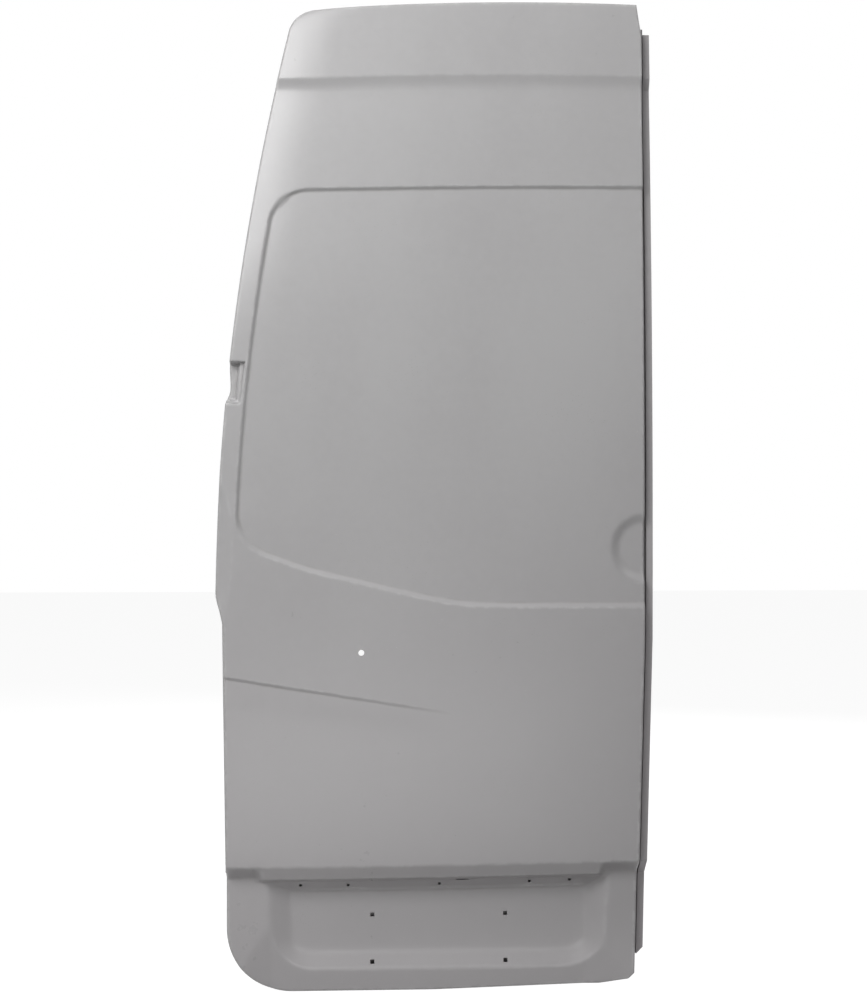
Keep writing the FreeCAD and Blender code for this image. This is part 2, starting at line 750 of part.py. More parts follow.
def hinge_pad(seat):
    """Hinge pad: a flat upright seat on the outer wall of the stile."""
    half = HINGE_HEIGHT / 2
    depth = HINGE_DEPTH / 2
    far = seat.x + RIM_INSET + STILE_GAP
    pad = box(seat.x, far, seat.y - depth, seat.y + depth, seat.z - half, seat.z + half)
    pad = pad.cut(rim_wall(RIM_INSET))
    return drilled(pad, hinge_holes())


def wall_plate(thickness, x0, x1, centre, depth, height):
    """Plate inside a stile, lying against the inside of its outer wall."""
    near = RIM_INSET + FRAME_T
    strip = rim_wall(near).cut(rim_wall(near + thickness))
    y0 = centre.y - depth / 2
    y1 = centre.y + depth / 2
    return strip.common(box(x0, x1, y0, y1, centre.z - height / 2, centre.z + height / 2))


def nut_plate(seat):
    """Threaded plate inside the stile behind a hinge pad."""
    height = HINGE_PITCH + 4 * HINGE_HOLE_R
    plate = wall_plate(NUT_PLATE_T, BLOCK_LEFT, STILE_END_X, seat, NUT_PLATE_DEPTH, height)
    return drilled(plate, hinge_holes())


def strap_slot():
    """Slot for the check strap, along X."""
    half = STRAP_SLOT / 2
    wide = STRAP_SLOT_W / 2
    return box(BLOCK_LEFT, STILE_WIDTH, STRAP_Y - wide, STRAP_Y + wide, STRAP_Z - half, STRAP_Z + half)


def strap_plate():
    """Check strap plate inside the stile, bent to its outer wall."""
    centre = V(0, STRAP_Y, STRAP_Z)
    plate = wall_plate(PLATE_T, BLOCK_LEFT, STILE_END_X, centre, STRAP_DEPTH, STRAP_HEIGHT)
    return plate.cut(strap_slot())


def striker_holes():
    """Striker bolt holes, along X through the outer wall of the lock stile."""
    holes = []
    for side in (-0.5, 0.5):
        start = V(RIGHT_X - STILE_WIDTH / 2, STRIKER_Y, STRIKER_Z + side * STRIKER_PITCH)
        holes.append(Part.makeCylinder(STRIKER_HOLE_R, STILE_WIDTH, start, V(1, 0, 0)))
    return holes


def striker_plate():
    """Striker plate inside the lock stile, against its outer wall."""
    centre = V(0, STRIKER_Y, STRIKER_Z)
    plate = wall_plate(PLATE_T, LOCK_END_X, BLOCK_RIGHT, centre, STRIKER_DEPTH, STRIKER_HEIGHT)
    return drilled(plate, striker_holes())


def lever_holes():
    """Release lever opening and its two screw holes, along Y through the web of the lock stile."""
    x = RIGHT_X - RIM_INSET - STILE_WIDTH / 2
    wide = LEVER_WIDTH / 4
    tall = LEVER_HEIGHT / 4
    holes = [box(x - wide, x + wide, 0, BLOCK_BACK, LEVER_Z - tall, LEVER_Z + tall)]
    for side in (-0.5, 0.5):
        holes.append(round_hole(x, LEVER_Z + side * LEVER_PITCH, LEVER_HOLE_R))
    return holes


def lever_plate(inner):
    """Release lever plate behind the web of the lock stile."""
    x = RIGHT_X - RIM_INSET - STILE_WIDTH / 2
    half = LEVER_WIDTH / 2
    tall = LEVER_HEIGHT / 2
    where = window(x - half, x + half, LEVER_Z - tall, LEVER_Z + tall)
    far = -FRAME_T - SEAT_GAP
    return drilled(sheet(where, inner, far - PLATE_T, far), lever_holes())


def brace(block, z, behind_skin):
    """Skin brace: a shallow channel across the leaf with its web towards the skin."""
    reach = RIM_INSET + STILE_WIDTH + SEAT_GAP
    across = slab(Part.Face(outline(reach)))
    half = BRACE_HEIGHT / 2
    near = behind_skin + MASTIC_T + SEAT_GAP
    solid = across.common(window(BLOCK_LEFT, BLOCK_RIGHT, z - half, z + half))
    hollow = across.common(window(BLOCK_LEFT, BLOCK_RIGHT, z - half + FRAME_T, z + half - FRAME_T))
    web = sheet(solid, block, near, near + BRACE_DEPTH)
    return web.cut(hollow.common(behind(block, near + FRAME_T)))


def mastic(block, z, behind_skin):
    """Mastic bead between the skin and a brace."""
    reach = RIM_INSET + STILE_WIDTH + MASTIC_HEIGHT
    half = MASTIC_HEIGHT / 2
    bead = slab(Part.Face(outline(reach))).common(window(BLOCK_LEFT, BLOCK_RIGHT, z - half, z + half))
    return sheet(bead, block, behind_skin + SEAT_GAP, behind_skin + MASTIC_T)


def latch_plate(inner, z):
    """Latch plate inside a rail, against its web."""
    half = LATCH_WIDTH / 2
    tall = LATCH_DEPTH / 2
    where = window(LATCH_X - half, LATCH_X + half, z - tall, z + tall)
    far = -FRAME_T - SEAT_GAP
    return drilled(sheet(where, inner, far - PLATE_T, far), latch_holes(z))


def latch_holes(z):
    """Screw holes of a latch, along Y through the web of its rail."""
    return [round_hole(LATCH_X + side * LATCH_PITCH, z, LATCH_HOLE_R) for side in (-0.5, 0.5)]


def build():
    """All nodes of the leaf in the door axes."""
    block = skin_block()
    inner = frame_block()
    upper_seat, lower_seat = hinge_seats()
    blank_back = BLANK_DEPTH + SKIN_T
    top_latch_z = TOP_Z - RIM_INSET - STILE_WIDTH / 2
    low_latch_z = LOWEST + RIM_INSET + STILE_WIDTH / 2
    return {
        "outer_skin": outer_skin(block),
        "upper_hinge_pocket": pocket_tray(block),
        "hinge_stile": hinge_stile(block, inner),
        "lock_stile": lock_stile(block, inner),
        "top_rail": drilled(rim_section(block, inner, top_view), latch_holes(top_latch_z)),
        "bottom_rail": drilled(rim_section(block, inner, bottom_view), latch_holes(low_latch_z)),
        "upper_cross_rail": cross_rail(block, inner, UPPER_CROSS_Z, CROSS_HEIGHT),
        "header_rail": cross_rail(block, inner, HEADER_RAIL_Z, CROSS_HEIGHT),
        "waist_rail": cross_rail(block, inner, WAIST_RAIL_Z, CROSS_HEIGHT),
        "lower_cross_rail": cross_rail(block, inner, LOWER_CROSS_Z, CROSS_HEIGHT),
        "lower_inner_panel": inner_panel(inner),
        "closing_flange": closing_flange(block),
        "upper_hinge_pad": hinge_pad(upper_seat),
        "lower_hinge_pad": hinge_pad(lower_seat),
        "upper_hinge_nut_plate": nut_plate(upper_seat),
        "lower_hinge_nut_plate": nut_plate(lower_seat),
        "check_strap_plate": strap_plate(),
        "striker_plate": striker_plate(),
        "release_lever_plate": lever_plate(inner),
        "top_latch_plate": latch_plate(inner, top_latch_z),
        "bottom_latch_plate": latch_plate(inner, low_latch_z),
        "upper_brace": brace(block, UPPER_BRACE_Z, blank_back),
        "lower_brace": brace(block, LOWER_BRACE_Z, SKIN_T),
        "upper_mastic": mastic(block, UPPER_BRACE_Z, blank_back),
        "lower_mastic": mastic(block, LOWER_BRACE_Z, SKIN_T),
    }


def main():
    """Write one file for each node, with the upper hinge seat at the origin."""
    os.makedirs("parts", exist_ok=True)
    for name, shape in build().items():
        solid = shape.Solids[0] if len(shape.Solids) == 1 else shape
        solid.translated(ORIGIN.negative()).exportStep(f"parts/{name}.step")
        print(name, len(shape.Solids), solid.isValid(), round(solid.Volume / 1000, 1), "cm3")


if __name__ == "__main__":
    main()
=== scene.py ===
"""Looks of a bare pressed-steel rear door leaf in grey primer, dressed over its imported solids."""

import json
import logging
import math
from dataclasses import dataclass
from enum import Enum
from typing import Any, Sequence

import bmesh
import bpy
import numpy as np
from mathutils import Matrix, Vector
from mathutils.bvhtree import BVHTree


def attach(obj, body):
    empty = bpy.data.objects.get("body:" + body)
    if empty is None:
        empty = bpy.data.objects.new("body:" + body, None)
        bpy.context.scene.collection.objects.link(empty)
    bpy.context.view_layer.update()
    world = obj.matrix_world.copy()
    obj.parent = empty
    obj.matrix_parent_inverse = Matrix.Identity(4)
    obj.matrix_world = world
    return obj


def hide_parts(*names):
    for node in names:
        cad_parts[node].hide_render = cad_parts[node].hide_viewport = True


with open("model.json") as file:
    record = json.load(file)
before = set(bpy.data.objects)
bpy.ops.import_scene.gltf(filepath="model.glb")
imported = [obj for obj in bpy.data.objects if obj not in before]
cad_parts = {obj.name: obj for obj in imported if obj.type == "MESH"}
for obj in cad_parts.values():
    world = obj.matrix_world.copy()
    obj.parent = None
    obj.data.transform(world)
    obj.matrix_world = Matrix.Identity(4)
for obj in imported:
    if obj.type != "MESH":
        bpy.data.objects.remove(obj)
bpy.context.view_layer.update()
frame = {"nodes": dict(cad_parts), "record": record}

LOG = logging.getLogger("door_leaf")
METRE = 0.001
# Door axes in millimetres (x from the hinge edge, y inward, z from the foot) of the row frame's origin.
SEAT_POINT = np.array((30.0, 63.0, 1204.0))
SHARP_ANGLE = math.radians(38.0)
Array = np.ndarray


class Slot(Enum):
    """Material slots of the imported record."""

    SKIN = "primer_skin"
    FRAME = "primer_frame"
    FLANGE = "primer_flange"
    PLATED = "plated_steel"
    MASTIC = "mastic"


def smooth(t: Array) -> Array:
    """Rises from 0 to 1 as three t squared less two t cubed, held flat outside 0 to 1."""
    t = np.clip(t, 0.0, 1.0)
    return t * t * (3.0 - 2.0 * t)


def window(t: Array, start: float, rise: float, end: float, fall: float) -> Array:
    """Rises smoothly from 0 to 1 over a run from start and falls back to 0 over a run from end."""
    return smooth((t - start) / rise) * (1.0 - smooth((t - end) / fall))


def soft_rise(t: Array, width: float) -> Array:
    """Zero below 0 and t above it, with the corner rounded over about the given width."""
    return width * np.logaddexp(0.0, t / width)


def ramp(t: Array, low: float, high: float, width: float, upper: float | None = None) -> Array:
    """Straight rise from 0 at low to 1 at high, rounded by width below and by upper, if given, above."""
    return (soft_rise(t - low, width) - soft_rise(t - high, upper or width)) / (high - low)


def round_corner(one: Array, other: Array, radius: float) -> Array:
    """Lesser of the distances inside two edges; near their corner, the distance inside its rounding."""
    near = radius - np.hypot(np.maximum(radius - one, 0.0), np.maximum(radius - other, 0.0))
    return np.where(np.minimum(one, other) < radius, near, np.minimum(one, other))


def stations(*spans: tuple[float, float, float]) -> Array:
    """Joins even runs of grid lines, each given by its start, its end and the wanted step."""
    runs = [np.linspace(a, b, max(2, round((b - a) / step) + 1)) for a, b, step in spans]
    return np.unique(np.round(np.concatenate(runs), 4))


def quads_of(rows: int, columns: int, keep: Array | None = None) -> Array:
    """Four corner numbers of each cell of a grid stored row by row, or of the kept cells alone."""
    first = np.arange(rows * columns).reshape(rows, columns)
    cells = np.stack((first[:-1, :-1], first[:-1, 1:], first[1:, 1:], first[1:, :-1]), axis=-1)
    return cells[keep] if keep is not None else cells.reshape(-1, 4)


def to_row(points: Array) -> Array:
    """Door axes in millimetres to the row frame in metres."""
    return (points.reshape(-1, 3) - SEAT_POINT) * METRE


def linked(name: str, data: Any) -> bpy.types.Object:
    """Makes an object of a mesh, a lamp or a camera and puts it in the scene."""
    made = bpy.data.objects.new(name, data)
    bpy.context.scene.collection.objects.link(made)
    return made


def read(items: Any, what: str, width: int, kind: type = float) -> Array:
    """Reads one property of all the items of a mesh as rows of the given width."""
    values = np.empty(len(items) * width, dtype=kind)
    items.foreach_get(what, values)
    return values.reshape(-1, width)


def cover(mesh: bpy.types.Mesh, paint: bpy.types.Material) -> None:
    """Gives a mesh one finish."""
    mesh.materials.clear()
    mesh.materials.append(paint)


def mesh_object(name: str, points: Array, faces: Array, merge: float = 1e-6) -> bpy.types.Object:
    """Makes an object at the origin from door-axis points and faces.

    Args:
        name: Piece name.
        points: Points in millimetres, door axes.
        faces: Corner numbers of each face.
        merge: Points closer than this, in metres, become one.

    Returns:
        The linked object.
    """
    mesh = bpy.data.meshes.new(name)
    mesh.from_pydata(to_row(points).tolist(), [], faces.tolist())
    work = bmesh.new()
    work.from_mesh(mesh)
    bmesh.ops.remove_doubles(work, verts=work.verts, dist=merge)
    bmesh.ops.dissolve_degenerate(work, edges=work.edges, dist=merge)
    work.to_mesh(mesh)
    work.free()
    return linked(name, mesh)


def settle(piece: bpy.types.Object) -> bpy.types.Object:
    """Applies a piece's modifiers, shades it smooth and marks its sharp edges."""
    view = bpy.context.evaluated_depsgraph_get()
    view.update()
    done = bpy.data.meshes.new_from_object(piece.evaluated_get(view))
    piece.modifiers.clear()
    piece.data = done
    done.name = piece.name
    done.polygons.foreach_set("use_smooth", np.ones(len(done.polygons), dtype=bool))
    done.set_sharp_from_angle(angle=SHARP_ANGLE)
    return piece


def tag(piece: bpy.types.Object, paint: bpy.types.Material, slot: Slot, *nodes: str) -> bpy.types.Object:
    """Paints a piece, rides it on the leaf and hides the nodes that it stands for."""
    cover(piece.data, paint)
    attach(piece, "root")
    if nodes:
        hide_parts(*nodes)
    LOG.info("%s: %d faces", piece.name, len(piece.data.polygons))
    return piece


def prism(ring: Array, near: float, far: float) -> tuple[Array, list[list[int]]]:
    """Points and faces of a closed bar along y, between two depths, over a ring of x and z points."""
    count = len(ring)
    ends = [np.column_stack((ring[:, 0], np.full(count, depth), ring[:, 1])) for depth in (near, far)]
    around = np.arange(count)
    after = (around + 1) % count
    sides = np.stack((around, around + count, after + count, after), axis=-1).tolist()
    return np.concatenate(ends), sides + [around.tolist(), (around[::-1] + count).tolist()]


class Value:
    """A number in a shader; arithmetic on it adds Math nodes."""

    def __init__(self, bench: "Bench", socket: bpy.types.NodeSocket) -> None:
        """Keeps the bench and the output socket."""
        self.bench = bench
        self.socket = socket

    def _math(self, operation: str, first: Any, second: Any) -> "Value":
        """Adds one Math node on two numbers or values."""
        return self.bench.value("ShaderNodeMath", {"operation": operation}, {0: first, 1: second})

    def __add__(self, other: Any) -> "Value":
        """Sum."""
        return self._math("ADD", self, other)

    __radd__ = __add__

    def __mul__(self, other: Any) -> "Value":
        """Product."""
        return self._math("MULTIPLY", self, other)

    __rmul__ = __mul__

    def __sub__(self, other: Any) -> "Value":
        """Difference."""
        return self._math("SUBTRACT", self, other)

    def __rsub__(self, other: Any) -> "Value":
        """Difference from a number."""
        return self._math("SUBTRACT", other, self)

    def between(self, low: float, high: float) -> "Value":
        """Smooth step from 0 at low to 1 at high."""
        settings = {"interpolation_type": "SMOOTHSTEP"}
        return self.bench.value("ShaderNodeMapRange", settings, {"Value": self, 1: low, 2: high})


class Bench:
    """Node tree of one material or world."""

    def __init__(self, owner: Any) -> None:
        """Empties the owner's tree."""
        self.owner = owner
        owner.use_nodes = True
        self.tree = owner.node_tree
        self.tree.nodes.clear()

    def node(self, kind: str, settings: dict[str, Any], inputs: dict[Any, Any]) -> bpy.types.Node:
        """Adds a node.

        Args:
            kind: Node type.
            settings: Properties, set first.
            inputs: Values or links by socket name or number.

        Returns:
            The node.
        """
        made = self.tree.nodes.new(kind)
        for key, value in settings.items():
            setattr(made, key, value)
        for key, value in inputs.items():
            source = value.socket if isinstance(value, Value) else value
            if isinstance(source, bpy.types.NodeSocket):
                self.tree.links.new(source, made.inputs[key])
            else:
                made.inputs[key].default_value = source
        return made

    def value(self, kind: str, settings: dict[str, Any], inputs: dict[Any, Any], out: Any = 0) -> Value:
        """Adds a node and gives one of its outputs as a value."""
        return Value(self, self.node(kind, settings, inputs).outputs[out])

    def place(self, scale: Sequence[float] = (1.0, 1.0, 1.0)) -> bpy.types.NodeSocket:
        """Object coordinates, stretched by a scale."""
        where = self.node("ShaderNodeTexCoord", {}, {}).outputs["Object"]
        return self.node("ShaderNodeMapping", {}, {"Vector": where, "Scale": scale}).outputs[0]

    def noise(self, scale: float, detail: float = 3.0, stretch: Sequence[float] = (1.0, 1.0, 1.0)) -> Value:
        """Cloudy noise of about the given count per metre."""
        inputs = {"Vector": self.place(stretch), "Scale": scale, "Detail": detail}
        return self.value("ShaderNodeTexNoise", {}, inputs)

    def specks(self, scale: float, low: float, high: float) -> Value:
        """Small round specks: 1 near scattered points and 0 elsewhere."""
        inputs = {"Vector": self.place(), "Scale": scale}
        far = self.value("ShaderNodeTexVoronoi", {"feature": "F1"}, inputs)
        return 1.0 - far.between(low, high)

    def attribute(self, name: str) -> Value:
        """A number stored on the piece's points."""
        return self.value("ShaderNodeAttribute", {"attribute_name": name}, {}, "Fac")

    def axis(self, which: int) -> Value:
        """One object coordinate in metres."""
        return self.value("ShaderNodeSeparateXYZ", {}, {0: self.place()}, which)

    def blend(self, factor: Value, low: Any, high: Any) -> bpy.types.NodeSocket:
        """Mixes two colours by a value."""
        settings = {"data_type": "RGBA", "blend_type": "MIX"}
        return self.node("ShaderNodeMix", settings, {0: factor, 6: low, 7: high}).outputs[2]

    def bump(self, height: Value, depth: float) -> bpy.types.NodeSocket:
        """Normal of a height field of the given depth in metres."""
        return self.node("ShaderNodeBump", {}, {"Height": height, "Distance": depth}).outputs[0]

    def surface(self, inputs: dict[str, Any]) -> bpy.types.Material:
        """Ends the tree in a Principled shader."""
        shader = self.node("ShaderNodeBsdfPrincipled", {}, inputs)
        self.node("ShaderNodeOutputMaterial", {}, {"Surface": shader.outputs[0]})
        return self.owner

    def seen(self) -> Value:
        """1 for rays of the camera, of gloss and through glass, 0 for the light on the object."""
        path = self.node("ShaderNodeLightPath", {}, {})
        rays = [Value(self, path.outputs[f"Is {kind} Ray"]) for kind in ("Camera", "Glossy", "Transmission")]
        return rays[0] + rays[1] + rays[2]


def grey(level: float, warmth: float = 0.0) -> tuple[float, float, float, float]:
    """Neutral colour of a linear level, warmed towards red by a share."""
    return (level * (1.0 + warmth), level, level * (1.0 - warmth), 1.0)


def primer(level: float, blush: float) -> tuple[float, float, float, float]:
    """Grey of a linear level with a slight blush: more red, less green and a trace of blue."""
    return (level * (1.0 + blush), level * (1.0 - 0.5 * blush), level * (1.0 + 0.25 * blush), 1.0)


@dataclass(frozen=True)
class PrimerFinish:
    """Sprayed grey primer on sheet steel.

    The level is linear, mottle is the share by which it wanders, peel the depth of the orange peel in metres,
    dust the strength of the specks, and the last field the share of painted shade: darker paint towards the
    lower closing corner.
    """

    name: str
    level: float
    warmth: float
    roughness: float
    mottle: float
    peel: float
    dust: float
    edge_mask: bool = False
    corner_shade: float = 0.0

    def make(self) -> bpy.types.Material:
        """Builds the paint: mottled grey, orange peel, vertical spray bands, dust specks, rubbed edges, painted
        shade in the hollows and painted shade towards the lower closing corner.

        Returns:
            The material.
        """
        bench = Bench(bpy.data.materials.new(self.name))
        cloud = bench.noise(2.3, 4.0)
        bands = bench.noise(5.0, 2.0, (1.0, 1.0, 0.16))
        fine = bench.noise(60.0, 3.0)
        mix = (cloud * 0.5 + bands * 0.3 + fine * 0.2).between(0.34, 0.66)
        darker = primer(self.level * (1.0 - self.mottle), self.warmth)
        lighter = primer(self.level * (1.0 + self.mottle), self.warmth * 0.6)
        colour = bench.blend(mix, darker, lighter)
        low = 1.0 - bench.axis(2).between(-1.25, 0.1)
        warm = primer(self.level * 0.98, self.warmth + 0.016)
        colour = bench.blend(low * 0.7, colour, warm)
        # Painted shade: darker paint towards the lower closing corner, weaker along the skirt.
        corner = bench.axis(0) * 0.8 - bench.axis(2) * 0.6
        thin = primer(self.level * 0.7, self.warmth + 0.01)
        skirt = 0.3 + 0.7 * bench.axis(2).between(-1.17, -1.03)
        colour = bench.blend(corner.between(0.45, 1.35) * skirt * self.corner_shade, colour, thin)
        grit = bench.specks(170.0, 0.06, 0.16) * bench.noise(9.0, 2.0).between(0.5, 0.72)
        colour = bench.blend(grit * self.dust, colour, grey(self.level * 0.55, 0.06))
        lint = bench.specks(95.0, 0.03, 0.08) * bench.noise(7.0, 2.0).between(0.52, 0.7)
        colour = bench.blend(lint * self.dust, colour, grey(min(0.9, self.level * 1.6)))
        rough = self.roughness + (mix - 0.5) * 0.08 + (fine - 0.5) * 0.05
        if self.edge_mask:
            rub = bench.attribute("edge") * bench.noise(45.0, 3.0).between(0.42, 0.62)
            colour = bench.blend(rub * 0.35, colour, grey(self.level * 1.35))
            # Painted shade: darker paint in the concave bends of the pressing, where shade falls; its mask also
            # makes them a little rougher.
            hollow_shade = bench.attribute("hollow") * bench.noise(22.0, 3.0).between(0.3, 0.7)
            colour = bench.blend(hollow_shade * 0.28, colour, grey(self.level * 0.6, 0.05))
            rough = rough + rub * 0.08 + hollow_shade * 0.1
        height = bench.noise(420.0, 2.0) * 0.7 + bench.noise(140.0, 2.0) * 0.3 + grit * 0.5
        return bench.surface({
            "Base Color": colour,
            "Roughness": rough,
            "Normal": bench.bump(height, self.peel),
        })


@dataclass(frozen=True)
class PlatedFinish:
    """Dull zinc on rolled steel plate."""

    name: str
    level: float

    def make(self) -> bpy.types.Material:
        """Builds spangled grey zinc with rolling lines and faint yellow passivation."""
        bench = Bench(bpy.data.materials.new(self.name))
        inputs = {"Vector": bench.place(), "Scale": 130.0}
        cells = bench.value("ShaderNodeTexVoronoi", {"feature": "F1"}, inputs, 1)
        spangle = bench.value("ShaderNodeSeparateColor", {}, {0: cells}, 0)
        lines = bench.noise(300.0, 2.0, (1.0, 1.0, 0.04))
        cloud = bench.noise(16.0, 3.0)
        tone = spangle * 0.35 + lines * 0.35 + cloud * 0.3
        colour = bench.blend(tone, grey(self.level * 0.75, 0.02), grey(self.level * 1.2, 0.05))
        stain = bench.noise(38.0, 4.0).between(0.56, 0.74)
        colour = bench.blend(stain * 0.5, colour, (0.36, 0.3, 0.2, 1.0))
        rough = 0.34 + tone * 0.18 + stain * 0.2
        return bench.surface({
            "Base Color": colour,
            "Metallic": 1.0,
            "Roughness": rough,
            "Normal": bench.bump(lines + spangle * 0.3, 0.00012),
        })


@dataclass(frozen=True)
class MasticFinish:
    """Soft black bead of gap filler."""

    name: str

    def make(self) -> bpy.types.Material:
        """Builds lumpy near-black rubber with grey dust on it."""
        bench = Bench(bpy.data.materials.new(self.name))
        lumps = bench.noise(90.0, 4.0)
        dust = bench.noise(35.0, 3.0).between(0.5, 0.75)
        colour = bench.blend(dust, grey(0.018), grey(0.06, 0.05))
        return bench.surface({
            "Base Color": colour,
            "Roughness": 0.62 + dust * 0.25,
            "Normal": bench.bump(lumps, 0.0016),
        })


def finishes() -> dict[Slot, bpy.types.Material]:
    """All finishes by the record's slot."""
    chosen = {
        Slot.SKIN: PrimerFinish(
            "satin_primer", level=0.42, warmth=0.012, roughness=0.32, mottle=0.035, peel=0.00007, dust=0.5,
            edge_mask=True, corner_shade=0.75,
        ),
        Slot.FRAME: PrimerFinish(
            "thin_primer", level=0.36, warmth=0.014, roughness=0.46, mottle=0.06, peel=0.00009, dust=0.7,
        ),
        Slot.FLANGE: PrimerFinish(
            "dull_primer", level=0.36, warmth=0.03, roughness=0.5, mottle=0.09, peel=0.00009, dust=0.9,
        ),
        Slot.PLATED: PlatedFinish("dull_zinc", level=0.46),
        Slot.MASTIC: MasticFinish("black_mastic"),
    }
    return {slot: finish.make() for slot, finish in chosen.items()}


@dataclass(frozen=True)
class SkinOutline:
    """Edge of the outer skin, door axes in millimetres."""

    foot_left: float = 21.0
    lamp_low: float = 744.0
    lamp_high: float = 783.0
    lamp_left: float = 12.5
    overhang: float = 243.0
    edge_slope: float = 0.01214
    edge_curve: float = 9.993e-5
    foot_radius: float = 130.0
    top_radius: float = 58.0
    top_centre_x: float = 197.2
    top_centre_z: float = 1897.7
    top_tangent_z: float = 1911.5
    reach: float = 1955.65
    pocket_inset: float = 6.0
    overhang_left: float = 18.0
    closing_z: tuple[float, ...] = (0.0, 32.0, 258.0, 700.0, 1905.0, 1968.0)
    closing_x: tuple[float, ...] = (830.0, 830.0, 835.0, 846.0, 849.0, 840.0)
    sill_x: tuple[float, ...] = (430.0, 760.0, 818.0, 830.0)
    sill_z: tuple[float, ...] = (0.0, 9.6, 20.0, 32.0)
    arch_x: float = 560.0
    arch_z: float = 1973.0
    arch_slope: float = 0.01663
    arch_curve: float = 7.889e-5
    belt_end: float = 478.0
    belt_slope: float = 0.24
    swage_end: float = 480.0
    swage_slope: float = -0.16
    header_end: float = 845.0
    header_curve: float = -2.0e-5
    lip_width: float = 846.0
    lip_rise: float = 7.0

    def left(self, z: Array) -> Array:
        """Hinge edge: a foot arc, a plumb run, a step out above the lamp and a parabola into the top arc."""
        upper = np.maximum(z - self.lamp_high, 0.0)
        bowed = self.edge_slope * upper + self.edge_curve * upper**2
        share = (self.overhang_left - self.lamp_left) * (z - self.overhang)
        below = self.overhang_left - share / (self.lamp_low - self.overhang)
        lower = np.where(z < self.overhang, self.foot_left, below)
        lower = lower + 3.0 * ramp(z, self.overhang + 12.0, self.overhang - 14.0, 2.0) * (z > self.overhang)
        edge = np.where(z > self.lamp_low, bowed, lower)
        step = ramp(z, self.lamp_low, self.lamp_high, 2.5)
        beside = (z > self.lamp_low - 12.0) & (z < self.lamp_high + 12.0)
        edge = np.where(beside, self.lamp_left * (1.0 - step), edge)
        rise = np.clip(self.foot_radius - z, 0.0, self.foot_radius)
        foot = self.foot_radius - np.sqrt(np.maximum(self.foot_radius**2 - rise**2, 0.0))
        rise = np.clip(z - self.top_centre_z, 0.0, self.top_radius)
        top = self.top_centre_x - np.sqrt(np.maximum(self.top_radius**2 - rise**2, 0.0))
        notch = smooth((z - 1163.0) / 26.0) * smooth((1246.0 - z) / 56.0)
        edge = edge + self.pocket_inset * notch
        return np.where(z > self.top_tangent_z, top, edge + foot)

    def right(self, z: Array) -> Array:
        """Closing edge: straight runs from the foot to the waist, the shoulder and the cut top corner."""
        return np.interp(z, self.closing_z, self.closing_x)

    def left_of(self, row: Array) -> Array:
        """Hinge edge of a grid row: the edge at the row's own height there, found by repeating the step."""
        x = self.left(row)
        for _ in range(5):
            x = self.left(self.height(x, row))
        return x

    def right_of(self, row: Array) -> Array:
        """Closing edge of a grid row, found in the same way."""
        return self.right(self.height(self.right(row), row))

    def sill(self, x: Array) -> Array:
        """Rise of the lower edge towards the closing side."""
        return np.interp(x, self.sill_x, self.sill_z)

    def arch(self, x: Array) -> Array:
        """Rise of the top edge above the end of the top arc: a parabola, flat at the hinge side."""
        ahead = x - self.arch_x
        return np.maximum(self.arch_z + self.arch_slope * ahead - self.arch_curve * ahead**2 - self.reach, 0.0)

    def belt(self, x: Array) -> Array:
        """Rise of the blank's sill above the belt: a slope that runs out level, bowed up near its corner."""
        bow = 9.0 * np.exp(-(((x - 95.0) / 55.0) ** 2))
        return soft_rise((self.belt_end - x) * self.belt_slope, 7.0) + bow

    def swage(self, x: Array) -> Array:
        """Fall of the character line away from the hinge edge, level past its end."""
        return self.swage_slope * np.minimum(x, self.swage_end)

    def header(self, x: Array) -> Array:
        """Sag of the blank's head towards the hinge side: a parabola from the closing edge."""
        return self.header_curve * (self.header_end - x) ** 2

    def overhang_rise(self, x: Array) -> Array:
        """Rise of the overhang towards the closing side: a parabola from the hinge edge."""
        return self.lip_rise * (x / self.lip_width) ** 2

    def height(self, x: Array, row: Array) -> Array:
        """True height of a grid row.

        Rows follow the sill, the overhang, the character line, the belt, the header and the top arch: each
        line's own rise is added with a weight that is 1 on that line and fades to 0 at its neighbours.

        Args:
            x: Places across the door.
            row: Grid rows.

        Returns:
            Heights above the foot.
        """
        lines = (
            (self.sill(x), 1.0 - smooth(row / 90.0)),
            (self.overhang_rise(x), window(row, 90.0, 130.0, 264.0, 120.0)),
            (self.swage(x), window(row, 420.0, 180.0, 640.0, 100.0)),
            (self.belt(x), window(row, 650.0, 96.0, 784.0, 240.0)),
            (self.header(x), window(row, 1400.0, 184.0, 1612.0, 120.0)),
            (self.arch(x), smooth((row - 1650.0) / (self.reach - 1650.0))),
        )
        return row + sum(rise * weight for rise, weight in lines)

    def inside(self, x: Array, row: Array) -> Array:
        """Distance to the nearest edge: the least of the four sides, from the arc centres in the corners.

        Args:
            x: Places across the door.
            row: Grid rows.

        Returns:
            Distances, nowhere below 0.
        """
        above = np.clip(row - self.lamp_high, 0.0, None)
        slope = np.hypot(1.0, self.edge_slope + 2.0 * self.edge_curve * above)
        sides = (self.right_of(row) - x, self.reach - row, row)
        least = np.minimum(np.minimum(sides[0], sides[1]), sides[2])
        hinge = (x - self.left_of(row)) / slope
        foot = self.foot_radius - np.hypot(x - self.foot_left - self.foot_radius, row - self.foot_radius)
        in_foot = (x < self.foot_left + self.foot_radius) & (row < self.foot_radius)
        top = self.top_radius - np.hypot(x - self.top_centre_x, row - self.top_centre_z)
        in_top = (x < self.top_centre_x) & (row > self.top_tangent_z)
        hinge = np.where(in_foot, foot, np.where(in_top, top, hinge))
        least = np.where(in_foot | in_top, np.minimum(hinge, sides[0]), np.minimum(hinge, least))
        return np.maximum(least, 0.0)


